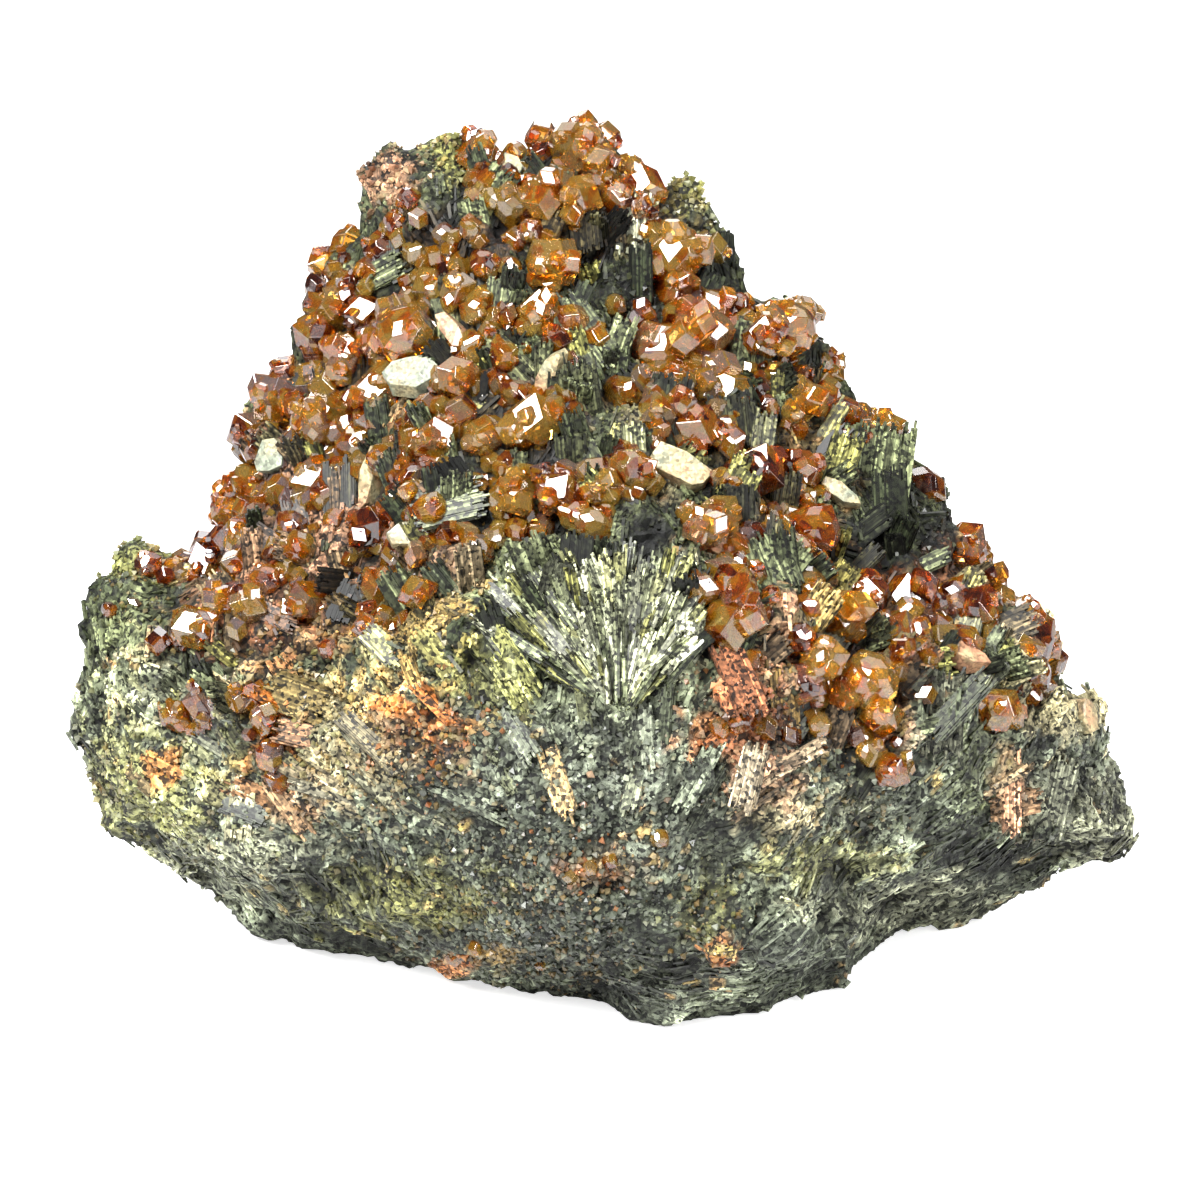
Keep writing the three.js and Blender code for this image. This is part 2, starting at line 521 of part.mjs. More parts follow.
function build() {
  const bare = bareRock();
  const bareMesh = new THREE.Mesh(geometryOf(bare), rockMaterial);
  const knobSolids = knobs.map((knob, i) => lump(bareMesh, knob, 40 + i, 0.1));
  const blockSolids = fibreBlocks.flatMap((block, i) => fibreBlock(bareMesh, block, 60 + i));
  let rock = joinAll([bare, ...knobSolids, ...blockSolids, ...fan(bareMesh)]);
  rock = rock.subtract(joinAll(hollows.map((hollow, i) => lump(bareMesh, hollow, 90 + i, 0.05))));
  const ground = new THREE.BoxGeometry(400, 400, 100).translate(0, 0, -50);
  rock = largest(rock.subtract(solid(ground)));

  const rockMesh = new THREE.Mesh(geometryOf(rock), rockMaterial);
  const grown = garnets.map((garnet, i) => crystal(rockMesh, garnet, 7 + i));
  const groups = groupOverlapping(grown);
  const bulk = (group) => group.reduce((sum, one) => sum + one.size ** 3, 0);
  groups.sort((one, other) => bulk(other) - bulk(one));
  const bladePieces = blades.map((row, i) => blade(rockMesh, row, 500 + i));
  const sockets = [...groups.flat(), ...bladePieces].map((piece) => piece.clear);
  rock = largest(rock.subtract(joinAll(sockets)));

  const parts = [['matrix', rock, rockMaterial]];
  let taken = null;
  const settle = (body, clears) => {
    let left = body;
    if (taken) left = largest(left.subtract(taken));
    taken = taken ? taken.add(joinAll(clears)) : joinAll(clears);
    return left;
  };
  groups.forEach((group, i) => {
    const label = String(i + 1).padStart(2, '0');
    const name = (group.length > 1 ? 'garnet_cluster_' : 'garnet_') + label;
    const body = joinAll(group.map((one) => one.body));
    parts.push([name, settle(body, group.map((one) => one.clear)), garnetMaterial]);
  });
  bladePieces.forEach((piece, i) => {
    const name = 'pale_blade_' + String(i + 1).padStart(2, '0');
    parts.push([name, settle(piece.body, [piece.clear]), bladeMaterial]);
  });

  const box = new THREE.Box3();
  const meshes = parts.map(([name, body, material]) => {
    const mesh = new THREE.Mesh(geometryOf(body), material);
    mesh.name = name;
    mesh.geometry.computeBoundingBox();
    box.union(mesh.geometry.boundingBox);
    return mesh;
  });
  const middle = box.getCenter(new THREE.Vector3());
  const group = new THREE.Group();
  for (const mesh of meshes) {
    mesh.geometry.translate(-middle.x, -middle.y, -box.min.z);
    group.add(mesh);
  }
  return group;
}

export default build();
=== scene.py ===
import math
from itertools import combinations

import bmesh
import bpy
import numpy as np
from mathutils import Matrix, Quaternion, Vector, noise
from mathutils.bvhtree import BVHTree
from mathutils.kdtree import KDTree


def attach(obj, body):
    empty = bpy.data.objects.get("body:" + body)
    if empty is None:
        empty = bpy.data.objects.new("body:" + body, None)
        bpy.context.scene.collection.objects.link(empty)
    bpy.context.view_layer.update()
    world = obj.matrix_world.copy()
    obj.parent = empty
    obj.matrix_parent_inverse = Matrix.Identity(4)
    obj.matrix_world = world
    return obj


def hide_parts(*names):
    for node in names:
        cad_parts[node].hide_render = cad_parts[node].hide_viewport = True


# A rock covered with garnet crystals, in metres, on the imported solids.
# Tables give places as across and up in millimetres in the plane that faces the viewer,
# as the part's own source does: across is 0 in the middle, up is 0 at the foot of the rock.

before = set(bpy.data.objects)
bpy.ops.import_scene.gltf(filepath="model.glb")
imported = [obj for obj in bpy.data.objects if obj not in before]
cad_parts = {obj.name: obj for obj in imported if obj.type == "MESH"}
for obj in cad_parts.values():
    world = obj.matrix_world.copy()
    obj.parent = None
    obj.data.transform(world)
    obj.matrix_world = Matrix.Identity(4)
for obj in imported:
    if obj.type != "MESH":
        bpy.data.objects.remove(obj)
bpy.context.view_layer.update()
chance = np.random.default_rng(41)

MM = 0.001

# How the viewer looks at the specimen, as in the part's source
VIEW_DOWN = math.radians(18)
VIEW_DISTANCE = 500
VIEW_DEPTH = 22
VIEW_HEIGHT = 38.4
# The camera's focal length and the width of its sensor
LENS = 150
SENSOR = 36
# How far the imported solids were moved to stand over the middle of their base
MOVED_ACROSS = 0.482
MOVED_BACK = 25.966

SIGHT = Vector((0, math.cos(VIEW_DOWN), -math.sin(VIEW_DOWN)))
RISE = Vector((0, math.sin(VIEW_DOWN), math.cos(VIEW_DOWN)))
LOOKED_AT = Vector((-MOVED_ACROSS, VIEW_DEPTH - MOVED_BACK, VIEW_HEIGHT)) * MM
EYE = LOOKED_AT - SIGHT * VIEW_DISTANCE * MM
VIEW_LEVEL = VIEW_DEPTH * math.sin(VIEW_DOWN) + VIEW_HEIGHT * math.cos(VIEW_DOWN)

# Faces of the rock's fine net, the patches whose fibres lie one way, and how far their
# borders wander in millimetres
ROCK_VOXEL = 0.61 * MM
PATCH_SIZE = 3.1 * MM
PATCH_WANDER = 0.8

# Relief of the rock, in millimetres: ridges and ledges along the fibres, grains and crumbs
# elsewhere, lumps and swells of the lower rock, and spokes in a band under the crystals
RIDGE_PITCH, RIDGE_LENGTH, RIDGE_HEIGHT = 0.75, 7, 0.4
LEDGE_PITCH, LEDGE_LENGTH, LEDGE_HEIGHT = 1.9, 9, 0.55
GRAIN_SIZE, GRAIN_HEIGHT = 0.9, 0.5
CRUMB_SIZE, CRUMB_HEIGHT = 2.0, 0.6
RELIEF_SUNK = 0.25
LUMP_SIZE, LUMP_HEIGHT = 4.6, 1.1
SWELL_SIZE, SWELL_HEIGHT = 11, 1.3
LUMPS_UNDER = 50
SPOKE_ROOT = 8
SPOKES_PER_RADIAN = 9
SPOKE_LENGTH = 16
SPOKE_HEIGHT = 1.6
SPOKE_BAND, SPOKE_BAND_REACH = 35, 9

# The shade between crowded crystals: how dark, its foot, and its middle across
CROWD_SHADE = 0.88
CROWD_FOOT = 30
CROWD_MIDDLE = -8

# How fast the strength of a zone falls, and how far apart the noise of two seeds lies
ZONE_FALL = 1.1
SEED_STEP = 17.3

# Blocks of parallel fibres: across, up, half length, half width, lie in degrees, colour
FIBRE_BLOCKS = [
    (-1.8, 69.8, 3.8, 2.6, 122, "sage"), (-1.8, 62.8, 4.4, 2.2, 100, "sage"),
    (-9.2, 67.1, 2.8, 2.0, 135, "sage"), (-15, 60, 2.3, 1.6, 45, "moss"),
    (-15.2, 52.9, 3.2, 2.3, 12, "sage"), (-26, 54.3, 2.6, 1.9, 92, "moss"),
    (-1.5, 80.5, 2.0, 1.7, 96, "moss"), (3.3, 80.8, 2.8, 2.1, 88, "pale"),
    (-11, 84.3, 2.4, 1.8, 50, "sage"), (-21.8, 76.1, 2.4, 1.6, 22, "sage"),
    (-27.4, 72.4, 1.8, 1.2, 35, "moss"), (15, 68.1, 2.6, 2.1, 80, "sage"),
    (20.5, 67.4, 2.4, 1.9, 62, "moss"), (27.5, 56.8, 3.7, 4.2, 84, "sage"),
    (29, 52.6, 3.4, 1.9, 92, "moss"), (17.2, 46.8, 2.7, 2.6, 112, "sage"),
    (8.8, 44.3, 5.0, 1.2, 92, "pale"), (-6.2, 46.3, 3.2, 2.2, 112, "sage"),
    (4.8, 43.8, 2.7, 1.3, 88, "moss"), (36.2, 40.8, 2.3, 2.2, 78, "sage"),
    (40.3, 38.6, 3.2, 1.7, 90, "lichen"), (33.8, 31.8, 3.7, 2.7, 88, "pale"),
    (-36.6, 40.8, 2.1, 1.2, 90, "moss"), (6.8, 62.3, 3.3, 2.2, 80, "black"),
    (13.3, 60.3, 3.1, 2.6, 96, "moss"), (14, 52.3, 2.3, 1.6, 90, "black"),
    (-25.5, 43.1, 2.3, 1.5, 70, "black"), (-43, 45.8, 3.0, 1.4, 20, "lichen"),
    (-10, 37.6, 4.6, 2.0, 130, "lichen"), (-30.3, 33.5, 2.8, 2.3, 160, "black"),
    (-35.8, 23.2, 3.4, 1.6, 84, "pale"), (-21.7, 38.6, 2.2, 1.3, 135, "lichen"),
    (-26.1, 24.2, 2.3, 1.3, 150, "moss"), (14.8, 25.6, 3.0, 1.5, 76, "pale"),
    (10.3, 24.9, 3.0, 1.5, 110, "moss"), (45.4, 23.3, 4.2, 1.9, 80, "pale"),
    (41.2, 24.3, 4.0, 1.0, 92, "peach"), (14, 35.5, 3.6, 1.8, 104, "rust"),
    (18.4, 33, 3.4, 1.8, 98, "ochre"),
]

# The fan of pale fibres: its root, the lie of its outer ribs, its reach and number of ribs
FAN_ROOT = (2, 31.5)
FAN_FROM = 50
FAN_TO = 132
FAN_REACH = 17
FAN_RIBS = 46
# Fibres elsewhere spread from a point under that root, and stray from this by some degrees
SPREAD_BELOW = 12
SPREAD_SHARE = 0.7
PATCH_STRAY = 24
LOWER_STRAY = 14

# Blocks of fibres: the width of one fibre, the layers and their step, how many smaller
# blocks stand between the crystals and on the lower rock, and where the lower rock begins
FIBRE_PITCH = 0.21
BLOCK_LAYERS = 3
LAYER_STEP = 0.22
BETWEEN_BLOCKS = 250
LOWER_BLOCKS = 90
LOWER_UNDER = 38
BETWEEN_COLOURS = ("moss", "sage", "moss", "black", "sage", "lichen", "moss")
LOWER_COLOURS = ("sage", "pale", "lichen", "moss", "black", "grey")
FAN_COLOURS = ("pale", "sage", "pale", "sage", "moss", "lichen")

# Single fibres and grains of the crusts
LOOSE_FIBRES = 6500
CRUST_GRAINS = 12000

# Small crystals that the solids leave out: across, up, radius before it is grown
SMALL_GARNETS = [
    (-5.8, 88, 1.4), (1.2, 87, 1.4), (-2.9, 86.8, 1.4), (0.5, 84.9, 1.5), (-4.2, 85.4, 1.4),
    (2.8, 82.4, 1.2), (-7, 81.8, 1.2), (-12.6, 85.4, 1.2), (-20.3, 81.2, 1.3), (-15.6, 79.8, 1.3),
    (-14, 76.8, 1.5), (-16.2, 77.6, 1.2), (-9, 76.6, 1.4), (-8.4, 79.4, 1.4), (-5.4, 79.6, 1.2),
    (8.4, 75.1, 1.2), (4, 71.3, 1.5), (1.5, 72.8, 1.2), (24.6, 59.6, 1.5), (-7.7, 70.2, 1.4),
    (-12, 73.3, 1.5), (-10.4, 71.4, 1.5), (-19, 73.3, 1.5), (-17.2, 72.8, 1.2), (-12.4, 64.6, 1.5),
    (-10, 65, 1.2), (-3.4, 66.8, 1.5), (-6, 63.8, 1.4), (-10.6, 60.3, 1.5), (-5.4, 58.8, 1.3),
    (-16, 62.6, 1.4), (-19.2, 56.6, 1.4), (-16.8, 57.2, 1.5), (-18.5, 54.3, 1.4), (-11, 57.1, 1.2),
    (-8.9, 57.2, 1.2), (-12.8, 54.9, 1.4), (-10, 50.3, 1.2), (2, 56.8, 1.5), (2.8, 53.9, 1.2),
    (5.2, 54.9, 1.2), (15.8, 64.6, 1.4), (17.8, 50.2, 1.5), (34, 40.8, 1.5), (32.5, 37.6, 1.5),
    (25.8, 29.8, 1.4), (37.4, 48, 1.2), (35.6, 47.4, 1.2), (40.6, 34.9, 1.2), (-25.5, 75.2, 1.5),
    (-24.9, 63, 1.2), (-29.2, 58.6, 1.4), (-26.6, 57.9, 1.4), (-34.8, 48.5, 1.4), (-32.6, 48, 1.4),
    (-21.4, 41.2, 1.4), (-42.6, 46.6, 1.2), (-36.9, 45.9, 1.4), (-31.4, 46.2, 1.2), (-49, 42.3, 0.9),
    (13.5, 55.1, 1.2), (9.7, 58.4, 1.2), (8.5, 51.8, 1.0), (4.5, 56.8, 1.1), (-37.2, 52.6, 1.2),
    (32.6, 54.8, 2), (2.2, 64, 2), (21.4, 34, 2), (-34.6, 55.2, 2), (-35, 42.7, 2),
    (-22.2, 44.3, 2), (-42.4, 32, 2), (-35.2, 60.1, 1.9), (-22, 78.3, 1.8), (-11.5, 76.8, 1.8),
    (-18.2, 59, 1.8), (-2.4, 51.6, 1.8), (-6, 50.6, 1.8), (0.5, 54.2, 1.8), (35.6, 43.8, 1.8),
    (-35.3, 51.9, 1.8), (-20.4, 47.4, 1.8), (-38.4, 43.3, 1.8), (13.2, 71.8, 2), (-13, 68.6, 2),
    (-31.7, 54.2, 2), (-14.5, 7.5, 0.9), (-12.5, 8.5, 0.8), (-5.8, 6.9, 0.8), (-17, 6.5, 0.7),
    (-1, 16.5, 0.9), (1, 17.2, 0.7), (-3, 15.6, 0.8), (5.9, 19.5, 0.9), (-33, 28, 1.7),
    (-32, 25.5, 1.5), (-33.4, 31, 1.4), (-34.2, 33.5, 1.4), (14, 31.5, 1.6), (16.5, 30.6, 1.3),
    (12, 30.5, 1.2), (19, 29.6, 1.2), (14.4, 37.4, 1.6),
]

# Garnets: how much the radii of the table are grown, how many small ones there are and how
# many places are tried for them, how many of them stand in clusters, how near two may come,
# and the radii that get eased edges, plain faces, a few growths or many
TABLE_GROWN = 1.25
SMALL_GARNETS_IN_ALL = 640
GARNET_TRIES = 6000
CLUSTERED_SHARE = 0.75
LEAST_SPACE = 0.48
EASED_OVER = 1.7 * MM
PLAIN_UNDER = 0.9 * MM
GROWTHS_OVER = 1.3 * MM
LARGE_GARNET = 2 * MM
FEW_GROWTHS, MANY_GROWTHS = 3, 6

# Shapes of one unit garnet: how deep the bevels cut, and how much of its edges is eased
EASED_BEVELS = (0.86, 0.93, 0.975)
SHARP_BEVELS = (0.88, 0.96)
FORM_EDGE = 0.008
RHOMBIC_EDGE = 0.012
SOLID_EDGE = 0.045 * MM

# Textures, in cells or waves to the metre, and to the millimetre for threads along fibres
ROCK_GRAINS = 2600
FIBRE_GRAINS = 3000
CRUST_SPECKS = 2200
BLADE_GRAINS = 3600
SPECKLE_CLOUD = 900
SPECKLE_DARKEST = 0.08
THREADS_PER_MM = (4.2, 0.25, 0)
GARNET_CLOUD = 480
GARNET_CELLS = 780
SKIN_PATCHES = 330
GROWTH_LINES = 650
STAINS = 420

# Garnet: how it bends light, its colours from deep to bright, and its mauve skin
GARNET_IOR = 1.89
GARNET_STOPS = (
    (0, (0.12, 0.018, 0.005)), (0.2, (0.45, 0.07, 0.008)), (0.42, (1, 0.25, 0.01)),
    (0.75, (1, 0.44, 0.025)), (1, (1, 0.62, 0.12)),
)
SKIN_MAUVE = (0.66, 0.5, 0.49, 1)

# Soft lights: name, place and size in metres, power; what they look at, and the world's light
LIGHTS = [
    ("key", (-0.2, -0.32, 0.46), 0.3, 10.5), ("side", (0.42, -0.2, 0.26), 0.24, 2.6),
    ("top", (0.05, 0.12, 0.6), 0.4, 1.2), ("front", (0.1, -0.62, 0.42), 0.4, 0.7),
    ("back", (-0.1, 0.55, 0.4), 0.4, 2.5),
]
LIT_PLACE = (0, 0, 0.045)
WORLD_LIGHT = 0.11

# The floor: width, colour, glow for the viewer only, and how far it lies under the base
FLOOR_WIDTH = 6.0
FLOOR_WHITE = (0.72, 0.72, 0.72, 1)
FLOOR_GLOW = 0.7
FLOOR_GAP = 0.02 * MM

# Colours, in screen values from 0 to 255, and how much darker the surface is
# than it looks under the studio light
SURFACE_SHARE = 0.62
# black and dark are partly the darkest fibres and grains, and partly painted shade: in the hollows, in the
# gaps between the crystals and low on the rock
COLOURS = {
    "sage": (112, 118, 84), "moss": (46, 52, 34), "pale": (184, 186, 156), "black": (16, 17, 13),
    "lichen": (164, 162, 92), "peach": (210, 160, 124), "rust": (138, 80, 50), "orange": (206, 114, 42),
    "cream": (212, 196, 150), "grey": (124, 130, 112), "dark": (70, 74, 66), "ochre": (184, 148, 82),
    "amber": (118, 62, 24), "slate": (98, 103, 90),
}

# What colours the rock where: across, up, reach across, reach up, colour, strength
# The black and dark zones are painted shade: in the hollows between the crystals and on the shaded lower
# rock under its ledges and knobs.
COLOUR_ZONES = [
    (2, 42, 12, 8, "pale", 0.55), (0, 22, 16, 10, "slate", 0.8), (-27, 29, 14, 9, "ochre", 0.65),
    (-18, 31, 6, 4, "orange", 0.65), (-30, 24, 5, 3.5, "orange", 0.5), (-45, 25, 9, 10, "lichen", 0.5),
    (-42, 33, 8, 5, "pale", 0.35), (16, 34, 6, 8, "rust", 0.6), (11, 30, 4, 4, "orange", 0.45),
    (-5, 10, 22, 4.5, "dark", 0.8), (-1, 16.5, 5, 2.2, "orange", 0.55),
    (-14.5, 7.5, 3, 1.6, "orange", 0.5), (-10, 8, 2.4, 1.5, "ochre", 0.7),
    (11, 12, 3, 5, "lichen", 0.65), (35, 14, 11, 4.5, "dark", 0.7), (20, 8, 10, 4, "dark", 0.6),
    (41.2, 24.3, 2.2, 5, "peach", 0.85), (45.5, 23, 3, 5, "pale", 0.6), (48, 26, 6, 9, "grey", 0.6),
    (49, 20, 6, 5, "pale", 0.5), (-40, 16, 9, 5, "pale", 0.5), (33, 48.8, 4.5, 4.5, "black", 0.85),
    (-15, 88, 3, 3, "lichen", 0.75), (8.5, 84, 3.5, 3.5, "lichen", 0.6),
    (-21, 86, 3.5, 4, "peach", 0.75), (4, 74, 3, 4, "black", 0.8), (-1.4, 77, 3, 4, "black", 0.95),
    (-9.5, 80.8, 2, 2.4, "black", 0.8), (28.4, 48.9, 3, 3.6, "black", 0.9),
    (-39, 37.6, 2.6, 2.6, "black", 0.9), (3.2, 60.8, 3, 3, "cream", 0.5),
    (-20, 63.2, 2.4, 2.4, "cream", 0.6), (-46, 47, 4, 2.6, "lichen", 0.5),
    (-25.5, 43, 2.4, 3, "black", 0.7), (24, 24, 6, 5, "grey", 0.6), (-14, 46, 4, 3, "dark", 0.6),
    (8, 56, 4, 3, "cream", 0.4), (-36, 14, 8, 4, "grey", 0.5), (-2, 12, 22, 4, "dark", 0.5),
    (31, 24, 6, 4, "slate", 0.6), (-28, 52, 9, 12, "amber", 0.6), (-3, 21, 9, 5, "moss", 0.7),
    (36, 21, 6, 4, "moss", 0.7), (-20, 16, 8, 5, "moss", 0.6), (52, 20, 5, 6, "pale", 0.7),
    (-30, 22, 6, 4, "slate", 0.5), (-19, 22, 6, 4, "moss", 0.5), (27, 31, 5, 4, "peach", 0.7),
    (17, 22, 5, 4, "cream", 0.6), (-31, 30, 10, 7, "moss", 0.6), (-24, 27, 9, 6, "slate", 0.6),
    (-32.6, 28.6, 2.5, 5, "orange", 0.7), (-43.3, 26.6, 3, 3, "orange", 0.6),
    (40, 17.5, 8, 2.6, "black", 0.8), (34, 20, 4, 3, "black", 0.6), (-24, 9.5, 6, 1.6, "black", 0.7),
    (9, 6, 5, 2, "black", 0.7), (2, 3.5, 8, 3, "dark", 0.7), (12.3, 8.5, 1.4, 1.4, "orange", 0.8),
    (15, 31, 5, 6, "rust", 0.6), (17, 26, 4, 4, "peach", 0.6), (25, 23, 3, 3, "pale", 0.7),
    (45, 40, 5, 4, "cream", 0.8), (-1.4, 68, 5, 5, "moss", 0.7), (8, 13, 15, 6, "moss", 0.5),
    (-2, 21, 9, 5, "black", 0.35), (-18, 16, 12, 4, "moss", 0.4), (-12, 20, 24, 9, "dark", 0.4),
    (-20, 12, 10, 5, "black", 0.4), (0, 8, 14, 5, "black", 0.3), (-48, 49, 5, 4, "moss", 0.4),
    (46, 40, 6, 5, "cream", 0.8), (51, 21, 5, 7, "pale", 0.6), (37, 43, 6, 5, "peach", 0.5),
    (-36, 46, 8, 7, "peach", 0.75), (-27, 51, 8, 7, "peach", 0.7), (-18, 49, 6, 5, "peach", 0.5),
    (-30, 60, 6, 5, "peach", 0.5), (-30, 49, 8, 5, "peach", 0.6), (30, 13, 12, 4, "pale", 0.55),
    (18, 39, 4, 4, "peach", 0.6), (46, 32, 6, 4, "cream", 0.5), (-38, 40, 7, 6, "amber", 0.5),
    (-24, 66, 8, 8, "amber", 0.45), (-10, 62, 10, 8, "amber", 0.35), (2, 82, 10, 6, "amber", 0.35),
    (28, 40, 8, 8, "amber", 0.55), (18, 56, 9, 9, "amber", 0.4), (-14, 78, 8, 6, "amber", 0.4),
    (34, 44, 7, 6, "amber", 0.4), (-20, 14, 12, 4, "lichen", 0.35), (22, 17, 8, 3, "lichen", 0.4),
    (-34, 18, 8, 4, "pale", 0.35), (38, 27, 5, 5, "sage", 0.5), (-30, 41, 9, 4, "rust", 0.5),
    (-18, 41, 7, 4, "ochre", 0.5), (-12, 36, 5, 5, "lichen", 0.45),
]

# Hollows without crystals, where the rock is painted dark as shade: across, up, reach
HOLLOWS = [
    (-1.2, 76, 4.5), (4, 74, 4), (33, 49, 4.5), (28.4, 49, 4), (-39, 37.6, 3), (-25.5, 43, 3),
    (-9.5, 80.8, 2.5), (25, 39.5, 3), (24, 57, 4), (30, 54, 4), (-6, 66, 2.5), (5, 50, 3),
    (-19, 58, 2.5),
]

# Where garnet crystals crowd, for the small ones between those in the tables: across, up, reach
GARNET_ZONES = [
    (-2, 84, 10), (-12, 80, 9), (8, 76, 8), (-24, 69, 9), (-14, 66, 9), (-6, 58, 9), (10, 66, 8),
    (20, 66, 7), (26, 60, 7), (16, 54, 9), (-18, 54, 9), (-30, 57, 8), (-33, 47, 8), (-40, 42, 7),
    (-24, 45, 7), (20, 47, 8), (28, 42, 8), (36, 45, 7), (42, 39, 6), (28, 33, 6), (12, 43, 5),
    (-38, 33, 4), (-4, 70, 7), (1, 54, 6),
]

# Grain crusts on the rock: across, up, reach, colours
# The black grains in the hollows at (33, 48.8) and (4, 74) are painted shade.
GRAIN_ZONES = [
    (-18, 31, 7, ("orange", "ochre", "cream")), (-28, 27, 8, ("ochre", "cream", "lichen")),
    (-44, 26, 9, ("lichen", "pale", "cream")), (0, 21, 13, ("grey", "pale", "dark")),
    (15, 33, 7, ("rust", "orange", "cream")), (46, 25, 8, ("grey", "pale", "dark")),
    (-21, 86, 4, ("peach", "cream", "rust")), (-1, 16, 5, ("orange", "ochre", "grey")),
    (11, 12, 4, ("lichen", "ochre", "grey")), (33, 48.8, 4, ("black", "dark", "sage")),
    (-15, 88, 3, ("lichen", "ochre", "moss")), (8.5, 83, 4, ("lichen", "moss", "pale")),
    (3, 60.8, 3, ("cream", "lichen", "sage")), (4, 74, 4, ("black", "moss", "sage")),
    (-14, 46, 5, ("dark", "sage", "ochre")), (-30, 36, 8, ("ochre", "sage", "cream")),
    (-8, 12, 12, ("dark", "grey", "ochre")), (24, 24, 7, ("grey", "sage", "ochre")),
    (-46, 46, 5, ("lichen", "sage", "ochre")),
]


def linear(name):
    """One of the named colours in linear light"""
    values = np.array(COLOURS[name]) / 255
    return np.where(values <= 0.04045, values / 12.92, ((values + 0.055) / 1.055) ** 2.4)


def surface(name):
    """One of the named colours as the surface has it"""
    return linear(name) * SURFACE_SHARE


def facing(points):
    """Across and up, in millimetres, of points in space as the viewer sees them"""
    away = np.asarray(points) - np.array(EYE)
    depth = away @ np.array(SIGHT)
    across = away[:, 0] / depth * VIEW_DISTANCE
    up = (away @ np.array(RISE)) / depth * VIEW_DISTANCE + VIEW_LEVEL
    return across, up


def sight_line(across, up):
    """The way from the eye to a place in the facing plane"""
    way = SIGHT * VIEW_DISTANCE + Vector((1, 0, 0)) * across + RISE * (up - VIEW_LEVEL)
    return way.normalized()


def near_zone(across, up, centre_across, centre_up, reach_across, reach_up):
    """1 in the middle of a zone, falling softly to 0"""
    far = ((across - centre_across) / reach_across) ** 2 + ((up - centre_up) / reach_up) ** 2
    return np.exp(-far * ZONE_FALL)


def new_object(name, mesh):
    """A new object in the scene"""
    piece = bpy.data.objects.new(name, mesh)
    bpy.context.scene.collection.objects.link(piece)
    return piece


def mesh_from_arrays(name, points, faces, colours=None):
    """A mesh from corner and face lists, with a colour for each corner if given"""
    mesh = bpy.data.meshes.new(name)
    mesh.from_pydata(np.asarray(points).tolist(), [], [tuple(face) for face in faces])
    mesh.update()
    if colours is not None:
        paint(mesh, "tone", colours)
    return mesh


def paint(mesh, name, colours):
    """Writes one colour for each corner point of a mesh"""
    layer = mesh.color_attributes.new(name, "FLOAT_COLOR", "POINT")
    values = np.ones((len(mesh.vertices), 4))
    values[:, :3] = colours
    layer.data.foreach_set("color", values.ravel())


def points_of(mesh):
    """The places of a mesh's corners as rows"""
    points = np.empty(len(mesh.vertices) * 3)
    mesh.vertices.foreach_get("co", points)
    return points.reshape(-1, 3)


def normals_of(mesh):
    """The ways that a mesh's corners face as rows"""
    normals = np.empty(len(mesh.vertices) * 3)
    mesh.vertex_normals.foreach_get("vector", normals)
    return normals.reshape(-1, 3)


# Patches of the rock

def radiating_lie(across, up, stray):
    """The lie of the fibres at a place: they spread from under the root of the fan"""
    angle = math.degrees(math.atan2(up - FAN_ROOT[1] + SPREAD_BELOW, across - FAN_ROOT[0]))
    return 90 + SPREAD_SHARE * (angle - 90) + chance.normal(0, stray)


def patch_lie(across, up):
    """The lie of one patch: along the fan's ribs, loosely spread elsewhere"""
    out_across = across - FAN_ROOT[0]
    out_up = up - FAN_ROOT[1]
    reach = math.hypot(out_across, out_up)
    angle = math.degrees(math.atan2(out_up, out_across))
    if reach < FAN_REACH + 3 and FAN_FROM - 12 < angle < FAN_TO + 12:
        return angle
    return radiating_lie(across, up, PATCH_STRAY)


def make_patches(points):
    """Middles of the patches with their lie, lift and shade"""
    across, up = facing(points)
    chosen = []
    cells = set()
    for i in chance.permutation(len(points)):
        cell = tuple((points[i] // PATCH_SIZE).astype(int))
        if cell not in cells:
            cells.add(cell)
            chosen.append(i)
    middles = points[chosen]
    lies = np.array([patch_lie(across[i], up[i]) for i in chosen])
    for block_across, block_up, half, width, lie, _ in FIBRE_BLOCKS:
        away = np.hypot(across[chosen] - block_across, up[chosen] - block_up)
        lies[away < max(half, width) * 0.9] = lie
    lift = chance.normal(0, 0.3, len(chosen))
    shade = chance.random(len(chosen))
    return middles, lies, lift, shade


def lie_frames(lies, normals):
    """Along and sideways ways in the surface for a lie in degrees seen from the front"""
    angle = np.radians(lies)
    right = np.array((1.0, 0, 0))
    flat = np.outer(np.cos(angle), right) + np.outer(np.sin(angle), np.array(RISE))
    along = flat - normals * np.sum(flat * normals, axis=1)[:, None]
    along /= np.linalg.norm(along, axis=1)[:, None] + 1e-9
    sideways = np.cross(normals, along)
    return along, sideways


def noise_rows(rows):
    """Smooth noise from -1 to 1 at rows of three values"""
    return np.array([noise.noise(Vector(row)) for row in rows])


def noise_at(points, size, seed):
    """Smooth noise over points, with bumps of that size in millimetres"""
    return noise_rows(points / (size * MM) + seed * SEED_STEP)


def front_share(normals):
    """1 on the side that the viewer sees, falling to 0 on the back"""
    return np.clip(0.75 - 1.6 * (normals @ np.array(SIGHT)), 0, 1)


